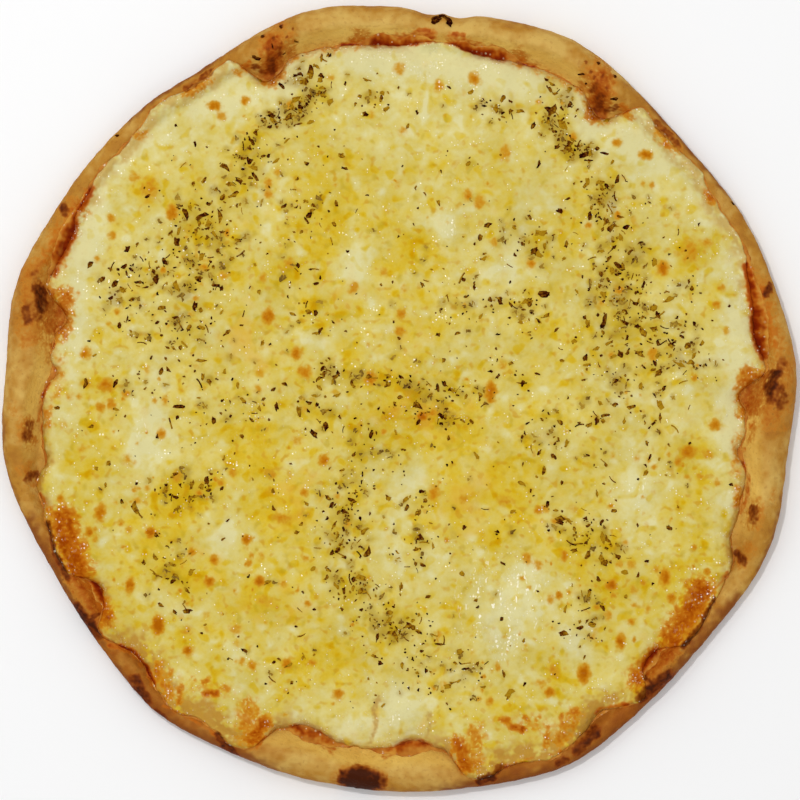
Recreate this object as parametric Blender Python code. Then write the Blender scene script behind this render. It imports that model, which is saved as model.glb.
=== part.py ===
"""A whole round four cheese pizza.

Three solids, each an object of its own: the dough round with its raised and blistered rim, the thin
layer of tomato sauce that runs under the cheese and shows past its edge, and the melted cheese with
its blisters and dried herb flakes. The cheese runs thin over the rim in places.

All sizes are in millimetres until the meshes are made. Places are given as (across, along), measured
from the middle: along runs up the line that the pizza is nearly symmetrical about, across runs to its
right. A bearing is an angle in degrees from that line, positive to the left.
"""

import math
import random

import bmesh
import bpy
import numpy as np
from mathutils import Matrix
from mathutils.geometry import delaunay_2d_cdt

METRES = 0.001

# The line of near symmetry, in degrees anticlockwise from the X axis.
AXIS_TURN = 83.5

# Outline of the dough: a mean radius, swells that both halves share as (bearing, spread, rise), and
# swells that only one side has.
MEAN_RADIUS = 157.4
OUTLINE_SWELLS = (
    (2.0, 2.5, -2.4),
    (19.0, 9.0, 3.0),
    (42.0, 12.0, -3.3),
    (80.0, 9.0, 3.6),
    (106.0, 12.0, 4.3),
    (123.0, 19.5, -2.3),
    (149.0, 8.0, 2.5),
)
LEAN_SWELLS = ((-145.0, 23.0, 2.7), (-88.0, 14.0, -1.3), (46.0, 6.0, 1.7))

# Edge of the cheese: a mean radius, level stretches as (start, end, softness, rise) where it runs out
# over the rim, and swells.
CHEESE_RADIUS = 144.0
CHEESE_STRETCHES = (
    (31.6, 80.4, 3.4, 5.5),
    (108.0, 125.5, 4.0, 5.5),
    (132.6, 164.7, 3.4, 7.0),
)
CHEESE_SWELLS = (
    (8.0, 5.0, -2.3),
    (28.5, 3.0, -5.5),
    (34.0, 2.4, 3.2),
    (45.6, 1.8, 3.4),
    (60.0, 3.5, 1.6),
    (72.0, 5.0, -2.3),
    (83.0, 1.8, -4.5),
    (88.0, 7.0, -3.5),
    (92.3, 1.6, -3.3),
    (121.5, 3.0, 1.3),
    (128.8, 1.8, -1.8),
    (134.8, 1.8, 1.8),
    (141.0, 3.5, -3.6),
    (150.5, 3.0, 3.0),
    (161.0, 3.0, 3.6),
    (171.0, 5.0, -7.3),
    (180.0, 4.0, -3.0),
)

# The least width of bare dough outside the cheese.
BARE_DOUGH = 3.4

# How far the sauce shows past the cheese: everywhere a hairline, and wider at these bearings.
SAUCE_HAIRLINE = 0.5
SAUCE_SWELLS = (
    (4.0, 1.8, 2.2),
    (9.0, 3.2, 4.6),
    (71.0, 4.8, 3.6),
    (92.5, 1.6, 1.6),
    (129.3, 1.8, 3.4),
    (171.0, 2.6, 5.0),
)

# The rim: width from the outer edge to the floor, and the height of its crest.
RIM_WIDTH = 17.0
RIM_WIDTH_STRETCHES = (
    (31.0, 64.0, 8.0, -5.5),
    (64.0, 80.5, 5.0, -2.5),
    (106.0, 164.0, 10.0, -5.5),
)
RIM_WIDTH_SWELLS = ((27.5, 3.5, 1.5), (88.0, 7.0, 6.0), (129.0, 4.5, 3.0), (171.0, 5.0, 4.5))
CREST_SHARE = 0.45
LOW_CREST = 10.6
HIGH_CREST = 16.6
NARROW_RIM = 10.5
WIDE_RIM = 18.5
SHOULDER_HEIGHT = 5.6
BASE_INSET = 9.0
# A layer is made as a slab this far down, and then cut by what lies under it.
SAUCE_SLAB_FOOT = 3.0
CHEESE_SLAB_FOOT = 3.6

# Soft bubbles of the rim, on both halves, as (across, along, radius, rise).
RIM_BUBBLES = (
    (44.0, 149.0, 8.0, 1.5),
    (12.0, 152.0, 7.0, 0.8),
    (86.0, 124.0, 7.0, 0.8),
    (148.0, 24.0, 9.0, 1.1),
    (150.0, -6.0, 8.0, 0.7),
    (146.0, -46.0, 7.0, 0.9),
    (118.0, -96.0, 7.0, 1.0),
    (92.0, -126.0, 6.0, 1.2),
    (56.0, -146.0, 7.0, 1.0),
    (26.0, -148.0, 9.0, 0.7),
    (0.0, -153.0, 9.0, 1.1),
)

# Layers, from the flat underside up. Neighbouring layers keep a hairline of clearance.
FLOOR_HEIGHT = 4.5
CLEARANCE = 0.3
SAUCE_THICKNESS = 1.0
SAUCE_EDGE_THICKNESS = 0.55
CHEESE_THICKNESS = 3.0
CHEESE_FILM = 1.2
LIP_WIDTH = 2.4

# Slow rises and falls of the surfaces, as (wavelength, height, seed).
DOUGH_WAVES = ((42.0, 0.45, 11), (13.0, 0.28, 12))
CHEESE_WAVES = ((52.0, 0.5, 21), (21.0, 0.3, 22))

# Domes and blisters of the cheese as (across, along, radius, rise), those of both halves first.
PAIRED_DOMES = (
    (109.0, 73.0, 8.0, 0.7),
    (75.0, 111.5, 3.2, 0.6),
    (87.0, 108.5, 4.0, 0.6),
    (15.0, 131.0, 3.4, 0.8),
    (57.0, 112.0, 4.0, 0.5),
    (99.0, 64.0, 4.0, 0.6),
    (60.0, 118.0, 7.0, 0.8),
    (127.0, 4.0, 3.6, 0.9),
    (117.0, -8.0, 4.4, 0.8),
    (100.0, -24.0, 13.0, 1.0),
    (114.0, -59.0, 4.6, 0.9),
    (117.5, -67.0, 3.8, 0.8),
    (93.0, -64.5, 4.2, 0.9),
    (99.0, -86.0, 4.2, 0.8),
    (86.0, -101.0, 4.2, 0.9),
    (74.0, -109.5, 3.6, 0.8),
    (63.0, -125.0, 5.0, 0.8),
    (78.0, -126.0, 6.0, 0.9),
    (128.0, -74.0, 8.0, 0.8),
    (40.0, -136.0, 9.0, 0.8),
)
SINGLE_DOMES = (
    (-56.0, 27.0, 3.6, 0.8),
    (-43.0, 14.0, 3.8, 0.7),
    (-38.0, 6.5, 4.2, 0.7),
    (36.5, 6.5, 4.2, 0.8),
    (-54.0, -63.0, 3.6, 0.9),
    (-47.5, -79.0, 3.8, 0.8),
    (-67.5, -81.5, 3.8, 0.8),
    (-27.5, -28.0, 3.6, 0.9),
    (23.0, 82.0, 4.2, 0.7),
    (13.0, 66.0, 12.0, 1.0),
    (56.0, -72.0, 14.0, 1.0),
    (15.0, -128.0, 10.0, 1.4),
    (-3.0, -131.0, 8.0, 1.0),
    (-11.0, -119.0, 4.0, 0.7),
)

# Herb flakes: groups of both halves, then of one side only, as (across, along, reach across, reach
# along, share), where the share is how many of a hundred flakes fall in the group.
PAIRED_HERBS = (
    (50.0, 116.0, 8.0, 4.0, 5.0),
    (59.0, 107.0, 6.0, 3.0, 5.0),
    (54.0, 125.0, 9.0, 6.0, 4.0),
    (26.0, 121.0, 8.0, 5.0, 3.0),
    (71.0, 88.0, 9.0, 9.0, 7.0),
    (85.0, 60.0, 11.0, 13.0, 12.0),
    (86.0, 42.0, 12.0, 10.0, 8.0),
    (110.0, 33.0, 13.0, 12.0, 7.0),
    (90.0, 16.0, 15.0, 12.0, 7.0),
    (45.0, 70.0, 10.0, 6.0, 4.0),
    (45.0, 44.0, 7.0, 6.0, 3.0),
    (76.0, -43.0, 9.0, 6.0, 4.0),
    (88.0, -50.0, 7.0, 9.0, 3.0),
    (84.0, -78.0, 9.0, 11.0, 5.0),
    (64.0, -10.0, 14.0, 14.0, 4.0),
    (105.0, -6.0, 12.0, 14.0, 3.0),
)
SINGLE_HERBS = (
    (-26.0, 7.0, 7.0, 3.5, 3.0),
    (12.0, 7.0, 16.0, 3.0, 5.0),
    (-28.0, -9.0, 6.0, 6.0, 3.0),
    (15.0, -5.0, 12.0, 3.0, 3.0),
    (-15.0, -50.0, 8.0, 14.0, 8.0),
    (-12.0, -76.0, 10.0, 9.0, 6.0),
    (13.0, -48.0, 7.0, 12.0, 3.0),
    (8.0, -92.0, 12.0, 9.0, 8.0),
    (28.0, -107.0, 14.0, 8.0, 6.0),
    (22.0, 42.0, 16.0, 8.0, 5.0),
)
SCATTERED_HERBS = 22.0
SCATTER_RADIUS = 128.0

# Flakes on the rim as (across, along, length, width, turn): those of both halves, then single ones.
PAIRED_RIM_FLAKES = (
    (72.0, 129.0, 4.6, 2.6, 55.0),
    (57.5, 137.5, 4.2, 1.2, 60.0),
    (64.0, 142.5, 2.4, 1.5, 70.0),
    (71.0, 138.0, 2.2, 1.5, 80.0),
)
SINGLE_RIM_FLAKES = ((-2.3, 153.6, 5.0, 2.1, 40.0), (1.9, 153.6, 4.8, 2.1, -38.0))

HERB_FLAKES = 130
FLAKE_THICKNESS = 1.0
FLAKE_LENGTHS = (3.4, 6.4)
FLAKE_SPACING = 5.4
HERB_SEED = 4

# Fineness of the meshes.
SEGMENTS = 120
RIM_ROWS = (1.0, 0.83, 0.68, 0.54, 0.42, 0.28, 0.14, 0.04, 0.0)
DRAPE_ROWS = (1.0, 0.80, 0.62, 0.45)
UNDERSIDE_ROWS = (38.0, 90.0)
CHEESE_RINGS = 14
LEAST_STEP = 0.45
LEAST_EDGE = 0.015

COLOURS = {
    "crust": (0.50, 0.24, 0.06, 1.0),
    "tomato_sauce": (0.40, 0.06, 0.01, 1.0),
    "cheese": (0.66, 0.50, 0.13, 1.0),
}


def swell(at, centre, spread, rise):
    """A smooth rise around one bearing."""
    return rise * np.exp(-(((at - centre) / spread) ** 2))


def ease(share):
    """A smooth step from 0 to 1."""
    share = np.clip(share, 0.0, 1.0)
    return share * share * (3.0 - 2.0 * share)


def stretch(at, start, end, softness, rise):
    """A level rise between two bearings, with soft ends."""
    return rise * ease((at - start) / softness + 0.5) * ease((end - at) / softness + 0.5)


def place(across, along):
    """The X and Y of a place."""
    turn = math.radians(AXIS_TURN)
    x = across * math.sin(turn) + along * math.cos(turn)
    y = along * math.sin(turn) - across * math.cos(turn)
    return x, y


def bearing_of(x, y):
    """Bearing of a point, between -180 and 180."""
    bearing = np.degrees(np.arctan2(y, x)) - AXIS_TURN
    return (bearing + 180.0) % 360.0 - 180.0


def point_at(bearing, radius):
    """The X and Y at a bearing and a radius."""
    turn = np.radians(bearing + AXIS_TURN)
    return radius * np.cos(turn), radius * np.sin(turn)


def lean(bearing):
    """What one side has and the other hasn't."""
    return sum(swell(bearing, *one) for one in LEAN_SWELLS)


def outline(bearing):
    """Radius of the outer edge."""
    both = np.abs(bearing)
    return MEAN_RADIUS + sum(swell(both, *one) for one in OUTLINE_SWELLS) + lean(bearing)


def cheese_edge(bearing):
    """Radius where the cheese ends."""
    both = np.abs(bearing)
    runs = sum(stretch(both, *one) for one in CHEESE_STRETCHES)
    swells = sum(swell(both, *one) for one in CHEESE_SWELLS)
    free = CHEESE_RADIUS + runs + swells + lean(bearing)
    return np.minimum(free, outline(bearing) - BARE_DOUGH)


def sauce_edge(bearing):
    """Radius where the sauce ends."""
    both = np.abs(bearing)
    shown = SAUCE_HAIRLINE + sum(swell(both, *one) for one in SAUCE_SWELLS)
    return cheese_edge(bearing) + shown


def rim_width(bearing):
    """Width of the rim, from the outer edge to the floor."""
    both = np.abs(bearing)
    runs = sum(stretch(both, *one) for one in RIM_WIDTH_STRETCHES)
    return RIM_WIDTH + runs + sum(swell(both, *one) for one in RIM_WIDTH_SWELLS)


def rim_top(bearing):
    """Height of the rim's crest, which is low where the rim is narrow."""
    share = ease((rim_width(bearing) - NARROW_RIM) / (WIDE_RIM - NARROW_RIM))
    return LOW_CREST + (HIGH_CREST - LOW_CREST) * share


def waves(x, y, wavelength, height, seed):
    """Slow rises and falls, made of a few crossing ripples."""
    dice = random.Random(seed)
    ripples = 9
    total = 0.0
    for _ in range(ripples):
        turn = dice.uniform(0.0, math.tau)
        pitch = math.tau / (wavelength * dice.uniform(0.75, 1.35))
        phase = dice.uniform(0.0, math.tau)
        total = total + np.sin(pitch * (x * math.cos(turn) + y * math.sin(turn)) + phase)
    return total * height / math.sqrt(ripples / 2.0)


def domes(x, y, listed):
    """Soft round rises, given by their places."""
    total = 0.0
    for across, along, radius, rise in listed:
        middle = place(across, along)
        apart = (x - middle[0]) ** 2 + (y - middle[1]) ** 2
        total = total + rise * np.exp(-apart / (0.6 * radius * radius))
    return total


def on_both_halves(listed):
    """Each entry of a list for the right half and again for the left one."""
    found = []
    for across, *rest in listed:
        found.append((across, *rest))
        if across:
            found.append((-across, *rest))
    return found


def dough_top(x, y):
    """Height of the dough's upper surface, from the floor over the rim to its shoulder."""
    bearing = bearing_of(x, y)
    inset = outline(bearing) - np.hypot(x, y)
    width = rim_width(bearing)
    crest = CREST_SHARE * width
    top = rim_top(bearing)
    down = np.clip((inset - crest) / (width - crest), 0.0, 1.0)
    inner = FLOOR_HEIGHT + (top - FLOOR_HEIGHT) * 0.5 * (1.0 + np.cos(math.pi * down))
    out = np.clip((crest - inset) / crest, 0.0, 1.0)
    outer = SHOULDER_HEIGHT + (top - SHOULDER_HEIGHT) * np.sqrt(1.0 - out * out)
    relief = domes(x, y, on_both_halves(RIM_BUBBLES))
    relief = relief + sum(waves(x, y, *one) for one in DOUGH_WAVES)
    relief = relief * ease(inset / crest) * (1.0 - ease((inset - 0.55 * width) / (0.42 * width)))
    return np.where(inset > crest, inner, outer) + relief


def sauce_top(x, y):
    """Height of the sauce's upper surface, which thins towards its edge."""
    past = sauce_edge(bearing_of(x, y)) - np.hypot(x, y)
    fullness = ease(past / 3.0)
    thick = SAUCE_EDGE_THICKNESS + (SAUCE_THICKNESS - SAUCE_EDGE_THICKNESS) * fullness
    return dough_top(x, y) + CLEARANCE + thick


def cheese_bottom(x, y):
    """Height of the cheese's lower surface."""
    return dough_top(x, y) + 2.0 * CLEARANCE + SAUCE_THICKNESS


def cheese_top(x, y):
    """Height of the cheese's upper surface, thin over the rim and rounded at its edge."""
    bearing = bearing_of(x, y)
    radius = np.hypot(x, y)
    inset = outline(bearing) - radius
    width = rim_width(bearing)
    body = ease((inset - 0.5 * width) / (0.5 * width))
    thick = CHEESE_FILM + (CHEESE_THICKNESS - CHEESE_FILM) * body
    relief = domes(x, y, on_both_halves(PAIRED_DOMES) + list(SINGLE_DOMES))
    relief = relief + sum(waves(x, y, *one) for one in CHEESE_WAVES)
    thick = thick + relief * (0.25 + 0.75 * body)
    past = np.clip((cheese_edge(bearing) - radius) / LIP_WIDTH, 0.0, 1.0)
    lip = 0.25 + 0.75 * np.sqrt(1.0 - (1.0 - past) ** 2)
    return cheese_bottom(x, y) + thick * lip


def new_object(name, mesh_data):
    """An object with a mesh and a material of its own."""
    item = bpy.data.objects.new(name, mesh_data)
    bpy.context.scene.collection.objects.link(item)
    return item


def give_material(item, name):
    material = bpy.data.materials.new(name)
    material.use_nodes = True
    shader = material.node_tree.nodes["Principled BSDF"]
    shader.inputs["Base Color"].default_value = COLOURS[name]
    shader.inputs["Roughness"].default_value = 0.6
    material.diffuse_color = COLOURS[name]
    item.data.materials.append(material)


def push_ring(mesh, edges, radius_at, height_at):
    """Extrudes an open loop of edges and moves the new loop to its own radii and heights."""
    made = bmesh.ops.extrude_edge_only(mesh, edges=edges)["geom"]
    ring = [one for one in made if isinstance(one, bmesh.types.BMVert)]
    old = np.array([one.co for one in ring])
    bearings = bearing_of(old[:, 0], old[:, 1])
    x, y = point_at(bearings, radius_at(bearings))
    z = height_at(x, y)
    for one, a, b, c in zip(ring, x, y, z):
        one.co = (a, b, c)
    return [one for one in made if isinstance(one, bmesh.types.BMEdge)]


def close_ring(mesh, edges, height):
    """Extrudes an open loop of edges once more and gathers it to a point in the middle."""
    made = bmesh.ops.extrude_edge_only(mesh, edges=edges)["geom"]
    ring = [one for one in made if isinstance(one, bmesh.types.BMVert)]
    bmesh.ops.pointmerge(mesh, verts=ring, merge_co=(0.0, 0.0, height))


def start_ring(mesh, radius_at, height_at):
    """The first loop of edges of a round."""
    ring = bmesh.ops.create_circle(mesh, cap_ends=False, radius=1.0, segments=SEGMENTS)["verts"]
    old = np.array([one.co for one in ring])
    bearings = bearing_of(old[:, 0], old[:, 1])
    x, y = point_at(bearings, radius_at(bearings))
    z = height_at(x, y)
    for one, a, b, c in zip(ring, x, y, z):
        one.co = (a, b, c)
    return list(mesh.edges)


def plan_centre():
    """Middle of the outline's box, which becomes the origin."""
    bearings = np.arange(SEGMENTS) * 360.0 / SEGMENTS - AXIS_TURN
    bearings = (bearings + 180.0) % 360.0 - 180.0
    x, y = point_at(bearings, outline(bearings))
    return (x.min() + x.max()) / 2.0, (y.min() + y.max()) / 2.0


def finish(mesh, name):
    """Turns the working mesh into an object of triangles in metres, centred on the origin."""
    bmesh.ops.triangulate(mesh, faces=mesh.faces, quad_method="SHORT_EDGE")
    bmesh.ops.recalc_face_normals(mesh, faces=mesh.faces)
    middle = plan_centre()
    for one in mesh.verts:
        one.co.x = (one.co.x - middle[0]) * METRES
        one.co.y = (one.co.y - middle[1]) * METRES
        one.co.z *= METRES
    for face in mesh.faces:
        face.smooth = True
    mesh_data = bpy.data.meshes.new(name)
    mesh.to_mesh(mesh_data)
    mesh.free()
    return new_object(name, mesh_data)


def make_crust():
    """The dough round: a flat floor, the raised rim and a flat underside with a rounded edge."""
    mesh = bmesh.new()

    def rim_row(share):
        return lambda bearing: outline(bearing) - share * rim_width(bearing)

    def under_radius(turn):
        return lambda bearing: outline(bearing) - BASE_INSET * (1.0 - math.cos(math.radians(turn)))

    def under_height(turn):
        height = SHOULDER_HEIGHT * (1.0 - math.sin(math.radians(turn)))
        return lambda x, y: np.full(len(x), height)

    first = start_ring(mesh, rim_row(RIM_ROWS[0]), dough_top)
    edges = first
    for share in RIM_ROWS[1:]:
        edges = push_ring(mesh, edges, rim_row(share), dough_top)
    for turn in UNDERSIDE_ROWS:
        edges = push_ring(mesh, edges, under_radius(turn), under_height(turn))
    close_ring(mesh, edges, 0.0)
    close_ring(mesh, first, FLOOR_HEIGHT)
    return finish(mesh, "crust")


def layer_rows(edge_at):
    """Radii of a layer's rings, which follow the rows of the rim and stay inside the layer's edge."""
    rows = []
    for number, share in enumerate(DRAPE_ROWS):
        keep = LEAST_STEP * (len(DRAPE_ROWS) - number) + 1.0
        rows.append(
            lambda bearing, share=share, keep=keep: np.minimum(
                outline(bearing) - share * rim_width(bearing), edge_at(bearing) - keep
            )
        )
    return rows


def make_sauce():
    """The sauce as a slab: its own top and edge, with a foot deep in the dough."""
    mesh = bmesh.new()
    rows = layer_rows(sauce_edge)
    first = start_ring(mesh, rows[0], sauce_top)
    edges = first
    for row in rows[1:]:
        edges = push_ring(mesh, edges, row, sauce_top)
    edges = push_ring(mesh, edges, sauce_edge, sauce_top)
    edges = push_ring(mesh, edges, sauce_edge, lambda x, y: np.full(len(x), SAUCE_SLAB_FOOT))
    close_ring(mesh, edges, SAUCE_SLAB_FOOT)
    close_ring(mesh, first, FLOOR_HEIGHT + CLEARANCE + SAUCE_THICKNESS)
    return finish(mesh, "tomato_sauce")


def surface_points(boundary):
    """Points inside the cheese: rings of six, twelve, eighteen and so on, and a rose on each blister."""
    found = []
    blisters = on_both_halves(PAIRED_DOMES) + list(SINGLE_DOMES)
    blisters = [one for one in blisters if one[2] < 6.0]
    roses = []
    for across, along, radius, _ in blisters:
        x, y = place(across, along)
        roses.append((x, y, radius))
    reach = boundary.min()
    step = reach / (CHEESE_RINGS + 0.6)
    for ring in range(1, CHEESE_RINGS + 1):
        for number in range(6 * ring):
            turn = math.tau * (number + 0.5 * (ring % 2)) / (6 * ring)
            x = ring * step * math.cos(turn)
            y = ring * step * math.sin(turn)
            if all(math.hypot(x - a, y - b) > radius + 2.5 for a, b, radius in roses):
                found.append((x, y))
    found.append((0.0, 0.0))
    for x, y, radius in roses:
        edge = outline(bearing_of(x, y)) - rim_width(bearing_of(x, y))
        if math.hypot(x, y) > edge - radius - 2.0:
            continue
        found.append((x, y))
        for number in range(6):
            turn = math.tau * number / 6.0
            found.append((x + radius * math.cos(turn), y + radius * math.sin(turn)))
    return found


def make_cheese():
    """The cheese as a slab: triangles out to the rim's foot, rings over the rim, a lip and a wall."""
    rows = layer_rows(cheese_edge)
    bearings = np.arange(SEGMENTS) * 360.0 / SEGMENTS - AXIS_TURN
    bearings = (bearings + 180.0) % 360.0 - 180.0
    radii = rows[0](bearings)
    loop = list(zip(*point_at(bearings, radii)))
    inner = [one for one in surface_points(radii)]
    flat = [(float(x), float(y)) for x, y in loop + inner]
    points, _, faces, _, _, _ = delaunay_2d_cdt(flat, [], [list(range(SEGMENTS))], 1, 1e-4)
    x = np.array([one[0] for one in points])
    y = np.array([one[1] for one in points])
    z = cheese_top(x, y)
    mesh = bmesh.new()
    corners = [mesh.verts.new((a, b, c)) for a, b, c in zip(x, y, z)]
    for face in faces:
        mesh.faces.new([corners[number] for number in face])
    edges = [one for one in mesh.edges if one.is_boundary]
    for row in rows[1:]:
        edges = push_ring(mesh, edges, row, cheese_top)
    edges = push_ring(mesh, edges, lambda bearing: cheese_edge(bearing) - 0.5, cheese_top)
    edges = push_ring(mesh, edges, cheese_edge, cheese_top)
    edges = push_ring(mesh, edges, cheese_edge, lambda x, y: np.full(len(x), CHEESE_SLAB_FOOT))
    close_ring(mesh, edges, CHEESE_SLAB_FOOT)
    return finish(mesh, "cheese")


def apply_boolean(item, operation, collection):
    """Joins or cuts an object with all that a collection holds, and removes what it held."""
    step = item.modifiers.new(operation.lower(), "BOOLEAN")
    step.operation = operation
    step.operand_type = "COLLECTION"
    step.collection = collection
    step.solver = "MANIFOLD"
    bpy.context.view_layer.objects.active = item
    bpy.ops.object.modifier_apply(modifier=step.name)
    for helper in list(collection.objects):
        bpy.data.objects.remove(helper, do_unlink=True)
    bpy.data.collections.remove(collection)
    mend(item)


def mend(item):
    """Merges the corners that a cut or a join leaves a hair apart, and the faces that vanish."""
    mesh = bmesh.new()
    mesh.from_mesh(item.data)
    bmesh.ops.remove_doubles(mesh, verts=mesh.verts, dist=LEAST_EDGE * METRES)
    bmesh.ops.dissolve_degenerate(mesh, edges=mesh.edges, dist=LEAST_EDGE * METRES)
    bmesh.ops.triangulate(mesh, faces=mesh.faces)
    mesh.to_mesh(item.data)
    mesh.free()


def helper_collection(name):
    collection = bpy.data.collections.new(name)
    bpy.context.scene.collection.children.link(collection)
    return collection


def raised_copy(item, collection):
    """A copy of a solid, higher by the clearance, that cuts the layer above it."""
    mesh_data = item.data.copy()
    mesh_data.transform(Matrix.Translation((0.0, 0.0, CLEARANCE * METRES)))
    collection.objects.link(bpy.data.objects.new(item.name + "_raised", mesh_data))


def herb_places(count):
    """Where the flakes lie, the largest first: (x, y, length, width, turn)."""
    dice = random.Random(HERB_SEED)
    groups = on_both_halves(PAIRED_HERBS) + list(SINGLE_HERBS)
    total = sum(one[4] for one in groups) + SCATTERED_HERBS * 2.0
    found = []
    while len(found) < count:
        pick = dice.uniform(0.0, total)
        x, y = None, None
        for across, along, wide, tall, share in groups:
            pick -= share
            if pick < 0.0:
                x, y = place(dice.gauss(across, 0.6 * wide), dice.gauss(along, 0.6 * tall))
                break
        if x is None:
            x, y = point_at(dice.uniform(-180.0, 180.0), SCATTER_RADIUS * math.sqrt(dice.random()))
        largeness = (1.0 - len(found) / count) ** 1.5
        length = FLAKE_LENGTHS[0] + (FLAKE_LENGTHS[1] - FLAKE_LENGTHS[0]) * largeness
        width = length * dice.uniform(0.34, 0.52)
        turn = dice.uniform(0.0, 180.0)
        bearing = bearing_of(x, y)
        if math.hypot(x, y) > outline(bearing) - rim_width(bearing) - 4.0:
            continue
        if all(math.hypot(x - one[0], y - one[1]) > FLAKE_SPACING for one in found):
            found.append((x, y, length, width, turn))
    return found


def rim_flake_places():
    """The flakes on the rim, in the same form."""
    found = []
    for across, along, length, width, turn in on_both_halves(PAIRED_RIM_FLAKES):
        x, y = place(across, along)
        found.append((x, y, length, width, turn if across > 0.0 else 180.0 - turn))
    for across, along, length, width, turn in SINGLE_RIM_FLAKES:
        x, y = place(across, along)
        found.append((x, y, length, width, turn))
    return found


def lay_flakes(places, height_at, collection):
    """One small lens-shaped flake at each place, half sunk in what it lies on."""
    middle = plan_centre()
    for number, (x, y, length, width, turn) in enumerate(places):
        mesh = bmesh.new()
        bmesh.ops.create_uvsphere(mesh, u_segments=6, v_segments=2, radius=0.5)
        level = float(height_at(np.array([x]), np.array([y]))[0])
        shape = Matrix.Translation((x - middle[0], y - middle[1], level + 0.05))
        shape @= Matrix.Rotation(math.radians(turn + AXIS_TURN - 90.0), 4, "Z")
        shape @= Matrix.Diagonal((length, width, FLAKE_THICKNESS, 1.0))
        bmesh.ops.transform(mesh, matrix=Matrix.Scale(METRES, 4) @ shape, verts=mesh.verts)
        mesh_data = bpy.data.meshes.new(f"flake_{number}")
        mesh.to_mesh(mesh_data)
        mesh.free()
        collection.objects.link(bpy.data.objects.new(f"flake_{number}", mesh_data))


def fuse_flakes(item, places, height_at):
    """Joins the flakes to what they lie on, with one union."""
    collection = helper_collection(item.name + "_flakes")
    lay_flakes(places, height_at, collection)
    apply_boolean(item, "UNION", collection)


for leftover in list(bpy.data.objects):
    bpy.data.objects.remove(leftover, do_unlink=True)

crust = make_crust()
sauce = make_sauce()
cheese = make_cheese()
under_cheese = helper_collection("under_cheese")
raised_copy(sauce, under_cheese)
raised_copy(crust, under_cheese)
apply_boolean(cheese, "DIFFERENCE", under_cheese)
under_sauce = helper_collection("under_sauce")
raised_copy(crust, under_sauce)
apply_boolean(sauce, "DIFFERENCE", under_sauce)
for solid in (crust, sauce, cheese):
    give_material(solid, solid.name)
fuse_flakes(crust, rim_flake_places(), dough_top)
fuse_flakes(cheese, herb_places(HERB_FLAKES), cheese_top)
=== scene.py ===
# %% [markdown]
# # A whole four cheese pizza
#
# This scene dresses three plain solids: the dough round, the tomato sauce that runs under the cheese, and
# the melted cheese. Each is modelled again with a much finer surface, because what makes a baked pizza
# look right is its relief and its patchy browning. The dried herbs are then scattered on top.
#
# Soft shapes such as these could be sculpted by hand, or pushed up by an image. Formulas are used instead,
# because they give the same result each time, and because crust, sauce and cheese can share them, so that
# the layers follow each other.
#
# All sizes are in millimetres until a mesh is finished. Places are given as (across, along), measured from
# the middle: along runs up the line that the pizza is nearly symmetrical about, across runs to its right.
# A bearing is an angle in degrees from that line, positive to the left.

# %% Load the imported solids
import math
import random

import bpy
import numpy as np
from mathutils import Matrix, Vector, noise


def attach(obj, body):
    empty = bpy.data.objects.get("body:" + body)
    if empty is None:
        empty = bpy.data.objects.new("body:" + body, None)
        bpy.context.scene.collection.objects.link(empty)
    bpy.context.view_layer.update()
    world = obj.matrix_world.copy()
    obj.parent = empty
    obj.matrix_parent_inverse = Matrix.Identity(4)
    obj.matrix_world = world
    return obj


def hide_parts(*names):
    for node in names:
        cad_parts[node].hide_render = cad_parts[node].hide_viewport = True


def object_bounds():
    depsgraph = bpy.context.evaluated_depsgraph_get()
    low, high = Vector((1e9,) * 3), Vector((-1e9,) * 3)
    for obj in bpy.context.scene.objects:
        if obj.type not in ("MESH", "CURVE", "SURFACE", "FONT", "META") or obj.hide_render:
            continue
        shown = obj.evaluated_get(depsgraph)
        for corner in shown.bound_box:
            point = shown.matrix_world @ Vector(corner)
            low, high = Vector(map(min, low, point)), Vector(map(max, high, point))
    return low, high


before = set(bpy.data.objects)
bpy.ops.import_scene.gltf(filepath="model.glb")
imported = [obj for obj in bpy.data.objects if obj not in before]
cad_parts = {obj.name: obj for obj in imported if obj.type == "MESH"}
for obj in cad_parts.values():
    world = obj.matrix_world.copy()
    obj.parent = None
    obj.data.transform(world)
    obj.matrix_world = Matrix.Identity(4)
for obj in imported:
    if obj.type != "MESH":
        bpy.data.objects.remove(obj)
cad_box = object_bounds()
bpy.ops.object.select_all(action="DESELECT")
METRES = 0.001
CAD_TOP = cad_box[1].z / METRES
print("nodes", sorted(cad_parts), "height in mm", round(CAD_TOP, 1))

# %% [markdown]
# ## The plan of the pizza
#
# A pizza is stretched by hand, so its outline swells and shrinks. The outline, the edge of the cheese and
# the edge of the sauce are each a radius that depends on the bearing: a mean, plus a few smooth swells. The
# two halves are nearly alike, so swells are given for one half, and a short list holds what differs. A
# curve drawn by hand would do as well, but a formula can be asked for the edge at any bearing.

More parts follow.
